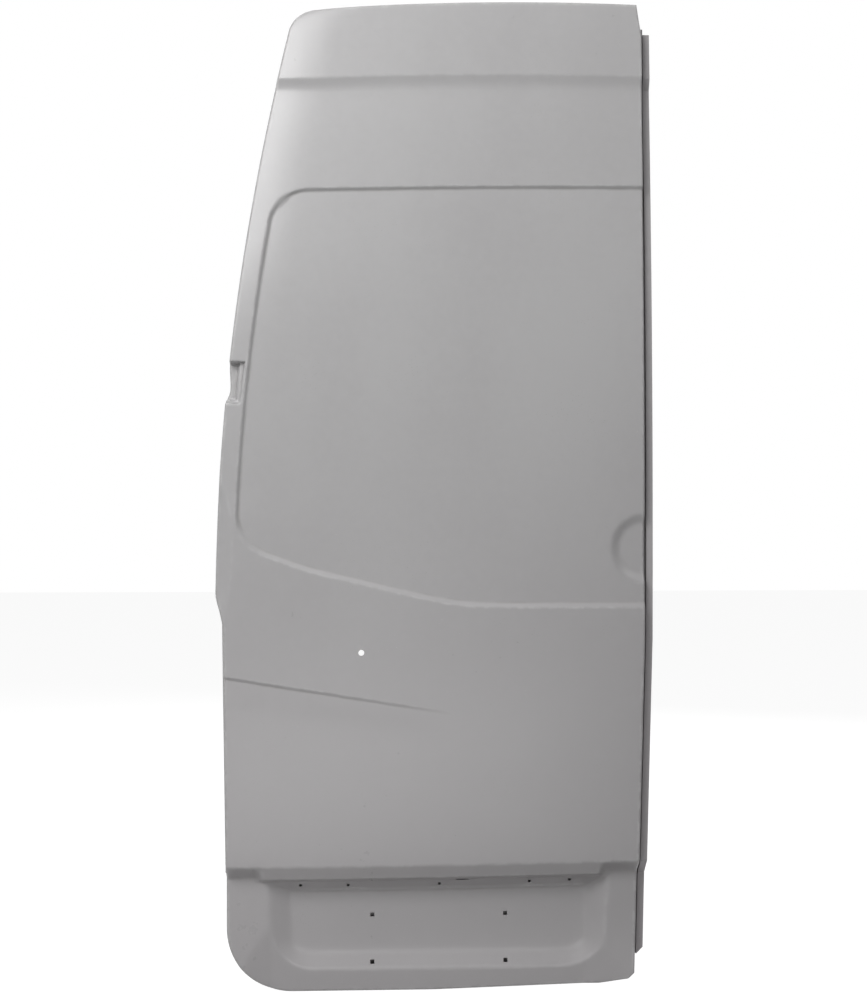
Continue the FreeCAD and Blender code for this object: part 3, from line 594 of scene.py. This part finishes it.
@dataclass(frozen=True)
class SkinForm:
    """Pressed form of the outer skin: depth over its outline, door axes in millimetres."""

    edge: SkinOutline
    edge_radius: float = 4.5
    wall: float = 1.0
    return_depth: float = 22.0
    lower_set_back: float = 30.0
    blank_depth: float = 6.0
    dish_depth: float = 9.0
    recess_depth: float = 22.0
    recess_turn: float = 84.0
    pocket_depth: float = 22.0
    pocket_foot: float = 1162.5
    pocket_head: float = 1246.0
    lip_row: float = 258.0
    belt_row: float = 764.0
    crease_row: float = 1802.0
    crease_height: float = 8.0
    lean_curve: float = 5.19e-5
    lean_slope: float = 0.095
    crown_low: float = 6.0
    crown_growth: float = 15.0
    roll_depth: float = 6.0
    roll_width: float = 105.0
    dish_x: float = 846.0
    dish_z: float = 879.5
    dish_radius: float = 71.0
    dish_wall: float = 24.0
    swage_depth: float = 4.4
    swage_z: float = 632.0
    swage_end: float = 470.0
    facet_z: float = 878.0
    facet_half: float = 140.0
    facet_slope: float = 0.42
    skirt_slope: float = 0.11
    pad_x: tuple[float, ...] = (260.0, 441.0, 620.5, 700.5)
    pad_depth: float = 2.6

    def body(self, x: Array, row: Array) -> Array:
        """Plain body: set back below the overhang, leaning back above the belt, crowned to the hinge side.

        The lean is a parabola above the belt that runs on straight from the crease; the crown is a parabola
        across the width that grows with height; the overhang and the crease are rounded straight ramps.

        Args:
            x: Places across the door.
            row: Grid rows.

        Returns:
            Depths of the body.
        """
        lower = self.overhang(x, row)
        up = np.clip(row - self.belt_row, 0.0, self.crease_row - self.belt_row)
        lean = self.lean_curve * up**2 + self.lean_slope * np.maximum(row - self.crease_row, 0.0)
        crease = -self.crease_height * ramp(row, self.crease_row - 7.0, self.crease_row + 12.0, 5.0, 1.2)
        growth = np.clip((row - self.lip_row) / (self.crease_row - self.lip_row), 0.0, 1.05) ** 1.6
        across = (920.0 - x) / 980.0
        crown = (self.crown_low + self.crown_growth * growth) * (1.12 * across**2 - 0.12 * across)
        away = np.maximum(x - self.edge.left_of(row), 0.0)
        fall = np.clip(1.0 - away / self.roll_width, 0.0, 1.0) ** 2.2
        roll = self.roll_depth * smooth((row - 1200.0) / 350.0) * fall
        return lower + lean + crease + crown + roll

    def overhang(self, x: Array, row: Array) -> Array:
        """Set-back below the overhang: a steep bevel at the sides, a gentle one with a sheer lip between."""
        mouth = window(x, 76.0, 20.0, 752.0, 20.0)
        sheer = 0.55 * self.lower_set_back * mouth
        bevel = (self.lower_set_back - sheer) * (1.0 - ramp(row, 230.0, 255.0, 1.4))
        return bevel + sheer * (1.0 - ramp(row, 221.0, 229.0, 0.8))

    def blank(self, x: Array, z: Array) -> Array:
        """Window blank: a straight sloping step with rounded feet along an outline with two rounded corners.

        The distance inside the outline is the rounded least of the distances to its head, its bowed hinge
        side and its sill, which slopes down to the middle and then runs level. The step is wider at the sill.

        Args:
            x: Places across the door.
            z: Heights above the foot.

        Returns:
            Depths of the blank below the body.
        """
        head = 1597.8 + self.edge.header(x) - z
        up = z - 955.0
        side = x - (43.0 + 0.04794 * up + 1.047e-4 * np.maximum(up, 0.0) ** 2)
        sill = (z - 767.0 - self.edge.belt(x)) * 0.975
        deep = round_corner(round_corner(side, head, 62.0), sill, 72.0)
        half = 2.7 + 2.0 * smooth((70.0 - sill) / 60.0)
        return self.blank_depth * ramp(deep / half, -1.0, 1.0, 0.24)

    def dish(self, x: Array, z: Array) -> Array:
        """Finger dish at the closing edge: a half-round hollow with a flat floor."""
        out = np.hypot(x - self.dish_x, z - self.dish_z)
        return self.dish_depth * smooth((self.dish_radius - out) / self.dish_wall)

    def swage(self, x: Array, z: Array) -> Array:
        """Character line: a sharp lip that sinks below a falling line and fades out below and to the right."""
        below = self.swage_z + self.edge.swage(x) - z
        fade = np.clip((self.swage_end - x) / self.swage_end, 0.0, 1.0) ** 0.6
        lip = ramp(below, 0.0, 5.5, 0.8) * (1.0 - smooth((below - 6.0) / 58.0))
        return self.swage_depth * fade * lip

    def facet(self, x: Array, z: Array) -> Array:
        """Flat along the hinge edge beside the waist: slopes in from a bowed line that closes at both ends."""
        off = np.abs(z - self.facet_z) / self.facet_half
        line = 33.0 - 29.0 * off**3
        return np.where(off < 1.12, self.facet_slope * soft_rise(line - x, 1.5), 0.0)

    def recess(self, x: Array, z: Array) -> Array:
        """Plate recess with a sunk skirt below it.

        The mouth is a rounded box that narrows downwards; the wall's run differs between the sides, the
        ceiling and the foot, and turns from one to the other by the corner's angle. The skirt is a plane that
        falls back below a line which drops off at both ends, and the deeper of the two shows. A low ridge
        runs along the foot of the ceiling.

        Args:
            x: Places across the door.
            z: Heights above the foot.

        Returns:
            Depths of the recess and the skirt.
        """
        narrow = 12.0 * (228.0 - z) / 208.0
        left, right, foot = x - 100.0 - narrow, 775.0 - narrow - x, z - 20.0
        turn = self.recess_turn
        runs = []
        for side, run in ((left, 43.0), (right, 38.0)):
            share = np.arctan2(np.maximum(turn - foot, 0.0), np.maximum(turn - side, 1e-3)) / (0.5 * math.pi)
            runs.append(round_corner(side, foot, turn) / (run + (55.0 - run) * smooth(share)))
        ceiling = (221.0 + self.edge.overhang_rise(x) - z) / 22.0
        share = np.minimum(np.minimum(runs[0], runs[1]), ceiling)
        hollow = self.recess_depth * ramp(share, 0.0, 1.0, 0.07)
        line = np.minimum(60.0 + (x - 55.0) * 1.47, 82.0 + (776.0 - x) * 1.17)
        skirt = self.skirt_slope * soft_rise(np.minimum(line, 138.0) - z, 2.0)
        ridge = 1.5 * np.exp(-(((z - 200.5 - self.edge.overhang_rise(x)) / 2.6) ** 2))
        ridge = ridge * smooth((x - 150.0) / 40.0) * smooth((735.0 - x) / 40.0)
        return np.where(z < 262.0, np.maximum(hollow, skirt) - ridge, 0.0)

    def lamp_pads(self, x: Array, z: Array) -> Array:
        """Flats pressed round the lamp holes in the recess ceiling, each running on beyond its hole."""
        centres = np.array(self.pad_x).reshape(-1, 1, 1)
        across = np.clip(1.0 - np.abs((x[None] - centres - 9.0) / 22.0) ** 4, 0.0, 1.0).sum(axis=0)
        level = z - 211.0 - self.edge.overhang_rise(x)
        return self.pad_depth * across * np.clip(1.0 - np.abs(level / 8.5) ** 4, 0.0, 1.0)

    def pocket(self, x: Array, z: Array) -> Array:
        """Hinge pocket: a notch with one step at its head and two along its wall and foot, open to the edge."""
        foot, head = z - self.pocket_foot, self.pocket_head - z
        share = foot / (self.pocket_head - self.pocket_foot)
        wall = 48.0 + 10.5 * share - x
        first = np.minimum(round_corner(wall, foot, 6.0), head)
        second = np.minimum(round_corner(wall - 7.0 - 4.0 * share, foot - 6.5, 5.0), head)
        steps = 0.45 * ramp(first, -0.5, 3.0, 0.4) + 0.55 * ramp(second, 0.0, 3.5, 0.5)
        return self.pocket_depth * steps

    def rolled(self, inside: Array) -> Array:
        """Quarter round of the rim: radius less the root of the radius squared less the rest squared."""
        rest = np.clip(self.edge_radius - inside, 0.0, self.edge_radius)
        return self.edge_radius - np.sqrt(np.maximum(self.edge_radius**2 - rest**2, 0.0))

    def depth(self, x: Array, row: Array) -> tuple[Array, Array]:
        """Depth of the finished skin and of its plain body.

        Args:
            x: Places across the door.
            row: Grid rows.

        Returns:
            Depth with every pressing, and depth of the body alone.
        """
        z = self.edge.height(x, row)
        plain = self.body(x, row)
        pressed = plain + self.blank(x, z) + self.dish(x, z) + self.swage(x, z) + self.facet(x, z)
        pressed = pressed + self.recess(x, z) + self.lamp_pads(x, z) + self.pocket(x, z)
        return pressed + self.rolled(self.edge.inside(x, row)), plain


class OuterSkin:
    """The pressed outer skin with its rim, pocket and punched holes."""

    plate_centre = (440.5, 103.7)
    plate_pitch = (265.0, 92.0)
    plate_hole = 4.0
    lamp_holes = ((166.0, 212.0), (260.0, 210.5), (441.0, 212.0), (620.5, 215.5), (700.5, 218.0))
    lamp_radius = 3.2
    slit_centre = (486.0, 223.0)
    slit_half = (14.0, 1.6)
    round_centre = (285.7, 675.0)
    round_radius = 5.75
    punch_span = (-30.0, 90.0)
    bend_full = 0.06

    def __init__(self, form: SkinForm) -> None:
        """Keeps the form."""
        self.form = form

    def grid(self) -> tuple[Array, Array]:
        """Grid lines that crowd where the pressing bends.

        Returns:
            Places across the door and rows, both as full grids.
        """
        edge = self.form.edge
        lip = np.array((0.0, 0.3, 0.9, 1.8, 3.0, 4.5))
        rows = np.concatenate((lip, stations(
            (8.0, 40.0, 4.0), (40.0, 190.0, 7.0), (190.0, 260.0, 1.8),
            (260.0, 480.0, 27.0), (480.0, 600.0, 12.0), (600.0, 640.0, 1.5), (640.0, 752.0, 6.0),
            (752.0, 784.0, 1.4), (784.0, 960.0, 5.5), (960.0, 1154.0, 15.0), (1154.0, 1182.0, 1.9),
            (1182.0, 1228.0, 8.0), (1228.0, 1252.0, 1.9), (1252.0, 1500.0, 20.0), (1500.0, 1584.0, 6.0),
            (1584.0, 1610.0, 1.6), (1610.0, 1786.0, 20.0), (1786.0, 1822.0, 1.6), (1822.0, 1890.0, 9.0),
            (1890.0, 1948.0, 4.0),
        ), edge.reach - lip[::-1]))
        left, right = edge.left_of(rows)[:, None], edge.right_of(rows)[:, None]
        near = np.concatenate((lip, stations((7.0, 15.0, 4.0), (15.0, 54.0, 1.9), (54.0, 70.0, 5.0))))
        wall = np.concatenate((np.linspace(0.0, 0.36, 16)[1:], np.linspace(0.36, 1.0, 13)[1:]))
        middle = np.linspace(270.0, 725.0, 34)[1:]
        last = np.concatenate((np.linspace(0.0, 0.955, 30)[1:], 1.0 - lip[::-1] / 121.0))
        spread = np.ones_like(left)
        x = np.concatenate((
            left + near[None],
            left + 70.0 + (200.0 - left) * wall[None],
            spread * middle[None],
            725.0 + (right - 725.0) * last[None],
        ), axis=1)
        return x, np.broadcast_to(rows[:, None], x.shape)

    def shell(self) -> bpy.types.Object:
        """Builds the outer face with its return rim as one grid and gives it the sheet's thickness.

        Returns:
            The shell, not yet punched.
        """
        x, row = self.grid()
        y, plain = self.form.depth(x, row)
        z = self.form.edge.height(x, row)
        back = np.maximum(plain + self.form.return_depth, y + 0.5)
        half = 0.5 * (y + back)
        face = np.stack((x, y, z), axis=-1)
        deep = (np.stack((x, half, z), axis=-1), np.stack((x, back, z), axis=-1))
        tall = np.concatenate((deep[1][:1], deep[0][:1], face, deep[0][-1:], deep[1][-1:]))
        sides = [np.concatenate((d[:1], d[:1], d, d[-1:], d[-1:])) for d in deep]
        points = np.concatenate((
            sides[1][:, :1], sides[0][:, :1], tall, sides[0][:, -1:], sides[1][:, -1:],
        ), axis=1)
        rows, columns = points.shape[:2]
        keep = np.ones((rows - 1, columns - 1), dtype=bool)
        for corner in (np.s_[:2, :2], np.s_[:2, -2:], np.s_[-2:, :2], np.s_[-2:, -2:]):
            keep[corner] = False
        piece = mesh_object("skin_shell", points, quads_of(rows, columns, keep), 2e-5)
        self.mask(piece)
        sheet = piece.modifiers.new("sheet", "SOLIDIFY")
        sheet.thickness = self.form.wall * METRE
        sheet.offset = -1.0
        sheet.use_even_offset = False
        return piece

    def mask(self, piece: bpy.types.Object) -> None:
        """Stores where the pressing stands proud and where it is hollow.

        The bend of an edge is the turn of the normal along it, divided by its length; a point's bend is the
        mean over its edges.

        Args:
            piece: The outer face.
        """
        mesh = piece.data
        count = len(mesh.vertices)
        place, normal = read(mesh.vertices, "co", 3), read(mesh.vertices, "normal", 3)
        ends = read(mesh.edges, "vertices", 2, np.int32)
        gap = place[ends[:, 1]] - place[ends[:, 0]]
        turn = normal[ends[:, 1]] - normal[ends[:, 0]]
        bend = (gap * turn).sum(axis=1) / np.maximum((gap * gap).sum(axis=1), 1e-9) * METRE
        total, share = np.zeros(count), np.zeros(count)
        for end in (0, 1):
            np.add.at(total, ends[:, end], bend)
            np.add.at(share, ends[:, end], 1.0)
        mean = total / np.maximum(share, 1.0)
        for name, level in (("edge", mean), ("hollow", -mean)):
            layer = mesh.attributes.new(name, "FLOAT", "POINT")
            layer.data.foreach_set("value", smooth(level / self.bend_full).astype(np.float32))

    def punches(self) -> list[bpy.types.Object]:
        """Cutters of the plate holes, lamp holes, wiring slit and round hole.

        Returns:
            The cutters, linked to the scene.
        """
        turn = np.linspace(0.0, 2.0 * math.pi, 25)[:-1]
        circle = np.column_stack((np.cos(turn), np.sin(turn)))
        square = self.plate_hole * np.array(((-1.0, -1.0), (1.0, -1.0), (1.0, 1.0), (-1.0, 1.0)))
        pitch = 0.5 * np.array(self.plate_pitch)
        corners = [pitch * (a, b) for a in (-1, 1) for b in (-1, 1)]
        rings = [square + np.array(self.plate_centre) + corner for corner in corners]
        rings += [self.lamp_radius * circle + np.array(place) for place in self.lamp_holes]
        rings += [np.array(self.slit_centre) + circle * np.array(self.slit_half)]
        rings += [self.round_radius * circle + np.array(self.round_centre)]
        made = []
        for number, ring in enumerate(rings):
            points, faces = prism(ring, *self.punch_span)
            mesh = bpy.data.meshes.new(f"punch_{number}")
            mesh.from_pydata(to_row(points).tolist(), [], faces)
            made.append(linked(mesh.name, mesh))
        return made

    def build(self, paint: bpy.types.Material) -> bpy.types.Object:
        """Builds, punches and paints the skin.

        Args:
            paint: Skin finish.

        Returns:
            The finished piece.
        """
        piece = self.shell()
        group = bpy.data.collections.new("punches")
        cutters = self.punches()
        for cutter in cutters:
            group.objects.link(cutter)
        cut = piece.modifiers.new("punch", "BOOLEAN")
        cut.operand_type = "COLLECTION"
        cut.collection = group
        cut.solver = "EXACT"
        settle(piece)
        for cutter in cutters:
            bpy.data.objects.remove(cutter)
        bpy.data.collections.remove(group)
        return tag(piece, paint, Slot.SKIN, "outer_skin", "upper_hinge_pocket")


@dataclass(frozen=True)
class InnerFrame:
    """Inner frame: rounded bends on the pressed rails and stiles, spot welds and a sealed hem."""

    edge: SkinOutline
    bent: tuple[str, ...] = (
        "hinge_stile", "lock_stile", "top_rail", "bottom_rail", "upper_cross_rail", "header_rail", "waist_rail",
        "lower_cross_rail", "upper_brace", "lower_brace",
    )
    bend_radius: float = 3.5
    sheet_edge: float = 1.6
    bend_angle: float = 25.0
    hollow_weight: float = 0.66
    panel_box: tuple[tuple[float, float, float], ...] = ((95.0, 0.0, 76.0), (765.0, 140.0, 284.0))
    weld_pitch: float = 52.0
    weld_inset: float = 24.0
    weld_radii: tuple[float, ...] = (0.2, 2.2, 3.3, 4.6)
    weld_heights: tuple[float, ...] = (0.2, 0.25, 0.9, -0.1)
    bead_lines: tuple[tuple[str, float, float, float, float], ...] = (
        ("upper_cross_rail", 235.0, 720.0, 1770.0, 17.0), ("header_rail", 195.0, 720.0, 1560.0, 17.0),
        ("waist_rail", 140.0, 715.0, 726.0, 17.0), ("lower_cross_rail", 150.0, 705.0, 308.0, 13.0),
        ("lower_inner_panel", 140.0, 715.0, 215.0, 20.0), ("lower_inner_panel", 150.0, 350.0, 135.0, 16.0),
        ("lower_inner_panel", 530.0, 705.0, 135.0, 16.0),
    )
    bead_height: float = 3.2
    panel_coat: float = 0.8
    sealer_inset: float = 4.0
    sealer_radius: float = 2.2
    sealer_waves: tuple[tuple[float, float], ...] = ((0.12, 0.31), (0.1, 0.83), (0.08, 1.7))

    def soften(self, name: str, paint: bpy.types.Material, coat: float = 0.0) -> bpy.types.Object:
        """Copies a node and rounds its bends: steep edges between two faces wider than the sheet's own edge.

        Bends under the lower panel stay as they are.

        Args:
            name: Node name.
            paint: Frame finish.
            coat: Swelling of the whole piece, so that a lapped sheet lies clear of the one below.

        Returns:
            The rounded piece.
        """
        work = bmesh.new()
        work.from_mesh(frame["nodes"][name].data)
        bmesh.ops.remove_doubles(work, verts=work.verts, dist=1e-5)
        bmesh.ops.dissolve_limit(work, angle_limit=math.radians(0.1), verts=work.verts, edges=work.edges)
        layer = work.edges.layers.float.new("bevel_weight_edge")
        thin = self.sheet_edge * METRE
        wide = {face: 2.0 * face.calc_area() > thin * face.calc_perimeter() for face in work.faces}
        box = to_row(np.array(self.panel_box))
        for edge in work.edges:
            pair = edge.link_faces
            run = edge.verts[1].co - edge.verts[0].co
            middle = 0.5 * (edge.verts[1].co + edge.verts[0].co)
            covered = box[0, 0] < middle.x < box[1, 0] and box[0, 2] < middle.z < box[1, 2]
            if covered or len(pair) != 2 or abs(run.y) >= 0.5 * run.length:
                continue
            steep = edge.calc_face_angle() > math.radians(self.bend_angle)
            if steep and wide[pair[0]] and wide[pair[1]]:
                edge[layer] = 1.0 if edge.is_convex else self.hollow_weight
        mesh = bpy.data.meshes.new(f"{name}_pressing")
        work.to_mesh(mesh)
        work.free()
        piece = linked(mesh.name, mesh)
        bend = piece.modifiers.new("bend", "BEVEL")
        bend.limit_method = "WEIGHT"
        bend.width = self.bend_radius * METRE
        bend.segments = 3
        bend.use_clamp_overlap = False
        swell = piece.modifiers.new("coat", "DISPLACE")
        swell.strength = coat * METRE
        swell.mid_level = 0.0
        settle(piece)
        even = piece.modifiers.new("even", "WEIGHTED_NORMAL")
        even.keep_sharp = True
        return tag(piece, paint, Slot.FRAME, name)

    def tree(self, *names: str) -> BVHTree:
        """Search tree over the named nodes' faces."""
        points, faces, start = [], [], 0
        for name in names:
            mesh = frame["nodes"][name].data
            mesh.calc_loop_triangles()
            points.append(read(mesh.vertices, "co", 3))
            faces.append(read(mesh.loop_triangles, "vertices", 3, np.int32) + start)
            start += len(mesh.vertices)
        return BVHTree.FromPolygons(np.concatenate(points).tolist(), np.concatenate(faces).tolist())

    def land(self, places: Array, *names: str) -> tuple[Array, Array]:
        """Drops points from inside the van on to the frame.

        Args:
            places: Places across and up the door.
            names: Nodes to land on.

        Returns:
            Depth of each landing, not a number where there is none, and the normals there.
        """
        tree = self.tree(*names)
        starts = to_row(np.column_stack((places[:, 0], np.full(len(places), 300.0), places[:, 1])))
        hits = [tree.ray_cast(Vector(start), Vector((0.0, -1.0, 0.0))) for start in starts.tolist()]
        depth = np.array([hit[0].y / METRE + SEAT_POINT[1] if hit[0] else np.nan for hit in hits])
        normal = np.array([hit[1] if hit[0] else (0.0, 1.0, 0.0) for hit in hits])
        return depth, normal * np.sign(normal[:, 1:2])

    def rim(self, inset: float) -> Array:
        """Points along the foot, the hinge edge and the top.

        Args:
            inset: Distance from the outline.

        Returns:
            Places across and up the door, in order round the rim.
        """
        edge = self.edge
        across = np.linspace(812.0, edge.foot_left + edge.foot_radius, 120)
        foot = np.column_stack((across, edge.sill(across) + inset))
        turn = np.linspace(1.5 * math.pi, math.pi, 36)
        centre = np.array((edge.foot_left + edge.foot_radius, edge.foot_radius))
        low = centre + (edge.foot_radius - inset) * np.column_stack((np.cos(turn), np.sin(turn)))
        up = np.linspace(edge.foot_radius, edge.top_centre_z, 300)
        side = np.column_stack((edge.left(up) + inset, up))
        turn = np.linspace(math.pi, 0.5 * math.pi, 20)
        centre = np.array((edge.top_centre_x, edge.top_centre_z))
        high = centre + (edge.top_radius - inset) * np.column_stack((np.cos(turn), np.sin(turn)))
        across = np.linspace(edge.top_centre_x, 826.0, 110)
        top = np.column_stack((across, edge.height(across, np.full_like(across, edge.reach)) - inset))
        return np.concatenate((foot, low, side, high, top))

    def even(self, path: Array, pitch: float) -> Array:
        """Points at an even pitch along a path."""
        run = np.concatenate(((0.0,), np.cumsum(np.hypot(*np.diff(path, axis=0).T))))
        stops = np.arange(0.5 * pitch, run[-1], pitch)
        return np.column_stack((np.interp(stops, run, path[:, 0]), np.interp(stops, run, path[:, 1])))

    def welds(self, paint: bpy.types.Material) -> bpy.types.Object:
        """Spot welds: rings of four radii whose height falls to the sheet at the rim and dips in the middle.

        They follow the rim, the closing stile and the border of the lower panel at an even pitch.

        Args:
            paint: Frame finish.

        Returns:
            The finished piece.
        """
        up = np.linspace(70.0, 1890.0, 60)
        lock = np.column_stack((self.edge.right(up) - self.weld_inset - 4.0, up))
        panel = np.array(((108.0, 89.0), (752.0, 89.0), (752.0, 272.0), (108.0, 272.0), (108.0, 89.0)))
        paths = [self.even(path, self.weld_pitch) for path in (self.rim(self.weld_inset), lock, panel)]
        places = np.concatenate(paths)
        depth, normal = self.land(places, *self.bent, "lower_inner_panel")
        good = np.isfinite(depth) & (normal[:, 1] > 0.8)
        places, depth, normal = places[good], depth[good], normal[good]
        centre = np.column_stack((places[:, 0], depth, places[:, 1]))
        first = np.cross(normal, (0.0, 0.0, 1.0))
        first = first / np.linalg.norm(first, axis=1, keepdims=True)
        second = np.cross(normal, first)
        turn = np.linspace(0.0, 2.0 * math.pi, 11)
        radius, height = np.array(self.weld_radii), np.array(self.weld_heights)
        points = (
            centre[:, None, None]
            + radius[None, :, None, None] * np.cos(turn)[None, None, :, None] * first[:, None, None]
            + radius[None, :, None, None] * np.sin(turn)[None, None, :, None] * second[:, None, None]
            + height[None, :, None, None] * normal[:, None, None]
        )
        cells = quads_of(len(radius), len(turn))
        faces = np.arange(len(centre))[:, None, None] * (len(radius) * len(turn)) + cells[None]
        return tag(settle(mesh_object("spot_welds", points, faces.reshape(-1, 4))), paint, Slot.FRAME)

    def beads(self, paint: bpy.types.Material) -> bpy.types.Object:
        """Stiffening beads: long flat-topped swells on the rails and the lower panel.

        The height follows the distance inside a bar with round ends, rising smoothly over the bead's shoulder,
        and is added to the depth of the sheet under each grid point.

        Args:
            paint: Frame finish.

        Returns:
            The finished piece.
        """
        sheets, faces, start = [], [], 0
        for node, first, last, level, half in self.bead_lines:
            ends = ((first, first + 2.0 * half), (last - 2.0 * half, last))
            along = np.concatenate([np.linspace(*end, 12) for end in ends])
            x, z = np.meshgrid(along, level + np.linspace(-half, half, 15), indexing="ij")
            depth, _ = self.land(np.column_stack((x.ravel(), z.ravel())), node)
            past = np.maximum(np.abs(x - 0.5 * (first + last)) - 0.5 * (last - first) + half, 0.0)
            inside = half - np.hypot(past, z - level)
            swell = self.bead_height * smooth(inside / (0.7 * half)) - 0.25
            sheets.append(np.stack((x, depth.reshape(x.shape) + swell, z), axis=-1).reshape(-1, 3))
            faces.append(quads_of(*x.shape) + start)
            start += x.size
        piece = settle(mesh_object("frame_beads", np.concatenate(sheets), np.concatenate(faces)))
        return tag(piece, paint, Slot.FRAME)

    def sealer(self, paint: bpy.types.Material) -> bpy.types.Object:
        """Bead of sealer on the hem: a half round swept along the rim, its radius waving by three sines.

        Args:
            paint: Frame finish.

        Returns:
            The finished piece.
        """
        path = self.even(self.rim(self.sealer_inset), 5.0)
        depth, _ = self.land(path, *self.bent)
        found = np.isfinite(depth)
        count = np.arange(len(path))
        depth = np.interp(count, count[found], depth[found])
        depth = np.convolve(np.pad(depth, 3, mode="edge"), np.full(7, 1.0 / 7.0), mode="valid")
        along = np.gradient(path, axis=0)
        along = along / np.linalg.norm(along, axis=1, keepdims=True)
        aside = np.column_stack((along[:, 1], np.zeros(len(path)), -along[:, 0]))
        waves = sum(share * np.sin(count * rate) for share, rate in self.sealer_waves)
        radius = self.sealer_radius * (1.0 + waves)
        turn = np.linspace(0.0, math.pi, 7)
        centre = np.column_stack((path[:, 0], depth, path[:, 1]))
        points = (
            centre[:, None]
            + radius[:, None, None] * np.cos(turn)[None, :, None] * aside[:, None]
            + 0.8 * radius[:, None, None] * np.sin(turn)[None, :, None] * np.array((0.0, 1.0, 0.0))
        )
        piece = settle(mesh_object("hem_sealer", points, quads_of(len(path), len(turn))))
        return tag(piece, paint, Slot.FRAME)

    def build(self, paint: bpy.types.Material) -> None:
        """Builds the welds, the beads and the sealer, then the rounded pressings."""
        self.welds(paint)
        self.beads(paint)
        self.sealer(paint)
        for name in self.bent:
            self.soften(name, paint)
        self.soften("lower_inner_panel", paint, self.panel_coat)


def dress_nodes(paints: dict[Slot, bpy.types.Material]) -> None:
    """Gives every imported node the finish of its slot."""
    for part in frame["record"]["subparts"]:
        cover(frame["nodes"][part["node"]].data, paints[Slot(part["material_slot"])])
        LOG.info("%s: %s", part["node"], part["material_slot"])


@dataclass(frozen=True)
class Studio:
    """Floor, soft light and camera."""

    floor_z: float = -1.2045
    target: tuple[float, float, float] = (0.3971, -0.063, -0.2278)
    distance: float = 3.2
    azimuth: float = -3.0
    lens: float = 58.89
    fill: float = 0.04
    floor_half: float = 14.0
    # Name, place, aim, width and height in metres, and watts of each lamp.
    lamps: tuple[tuple[Any, ...], ...] = (
        ("key", (-1.2, -2.5, 1.95), (0.35, 0.0, 0.0), (1.6, 1.6), 88.0),
        ("top", (0.4, -1.3, 2.3), (0.6, 0.0, 0.2), (1.6, 0.8), 11.0),
        ("side", (-2.1, -0.9, 1.0), (0.2, 0.0, -0.3), (1.0, 1.6), 3.5),
        ("right", (2.2, -1.5, 1.3), (0.84, 0.0, 0.4), (0.7, 0.7), 5.0),
        ("bounce", (0.3, -1.7, -1.0), (0.4, 0.0, -1.15), (1.4, 0.4), 4.3),
        ("back", (1.4, 2.6, 1.6), (0.4, 0.0, -0.2), (4.4, 4.4), 86.0),
    )

    def floor(self) -> None:
        """Pale sheet under and behind the door that keeps its shadow."""
        ring = np.array(((-1.0, -1.0), (1.0, -1.0), (1.0, 1.0), (-1.0, 1.0))) * self.floor_half
        mesh = bpy.data.meshes.new("studio_floor")
        mesh.from_pydata([(a, b, self.floor_z) for a, b in ring.tolist()], [], [(0, 1, 2, 3)])
        sheet = linked("studio_floor", mesh)
        bench = Bench(bpy.data.materials.new("studio_white"))
        seen = bench.seen()
        matt = bench.node("ShaderNodeBsdfDiffuse", {}, {"Color": bench.blend(seen, grey(0.4), grey(0.86))})
        glow = bench.node("ShaderNodeEmission", {}, {"Color": grey(1.0), "Strength": 1.34})
        mixed = bench.node("ShaderNodeMixShader", {}, {0: seen * 0.7, 1: matt.outputs[0], 2: glow.outputs[0]})
        bench.node("ShaderNodeOutputMaterial", {}, {"Surface": mixed.outputs[0]})
        mesh.materials.append(bench.owner)

    def world(self) -> None:
        """White surround for the camera and for gloss, and a dimmer even light for the object."""
        bpy.context.scene.world = bpy.data.worlds.new("studio")
        bench = Bench(bpy.context.scene.world)
        dim = bench.node("ShaderNodeBackground", {}, {"Color": grey(1.0), "Strength": self.fill})
        white = bench.node("ShaderNodeBackground", {}, {"Color": grey(1.0), "Strength": 1.0})
        mixed = bench.node("ShaderNodeMixShader", {}, {0: bench.seen(), 1: dim.outputs[0], 2: white.outputs[0]})
        bench.node("ShaderNodeOutputWorld", {}, {"Surface": mixed.outputs[0]})

    def lamp(
        self, name: str, place: Sequence[float], aim: Sequence[float], size: Sequence[float], watts: float
    ) -> None:
        """Hangs one soft rectangular lamp.

        Args:
            name: Lamp name.
            place: Where it hangs.
            aim: What it points at.
            size: Width and height.
            watts: Power.
        """
        data = bpy.data.lights.new(name, "AREA")
        data.shape = "RECTANGLE"
        data.size, data.size_y = size
        data.energy = watts
        lamp = linked(name, data)
        lamp.location = place
        lamp.rotation_mode = "QUATERNION"
        lamp.rotation_quaternion = (Vector(aim) - Vector(place)).to_track_quat("-Z", "Y")

    def camera(self) -> None:
        """Level camera at the photograph's distance, a little to the hinge side."""
        data = bpy.data.cameras.new("camera")
        data.sensor_fit = "AUTO"
        data.sensor_width = 36.0
        data.lens = self.lens
        turn = math.radians(self.azimuth)
        back = Vector((math.sin(turn), -math.cos(turn), 0.0))
        eye = linked("camera", data)
        eye.location = Vector(self.target) + back * self.distance
        eye.rotation_mode = "QUATERNION"
        eye.rotation_quaternion = (-back).to_track_quat("-Z", "Y")
        bpy.context.scene.camera = eye

    def build(self) -> None:
        """Sets up the whole stage."""
        self.floor()
        self.world()
        for entry in self.lamps:
            self.lamp(*entry)
        self.camera()
        bpy.context.scene.view_settings.view_transform = "Standard"


def main() -> None:
    """Builds every sub-assembly in order."""
    logging.basicConfig(level=logging.INFO, format="%(message)s")
    paints = finishes()
    dress_nodes(paints)
    outline = SkinOutline()
    OuterSkin(SkinForm(outline)).build(paints[Slot.SKIN])
    InnerFrame(outline).build(paints[Slot.FRAME])
    Studio().build()


if __name__ == "__main__":
    main()
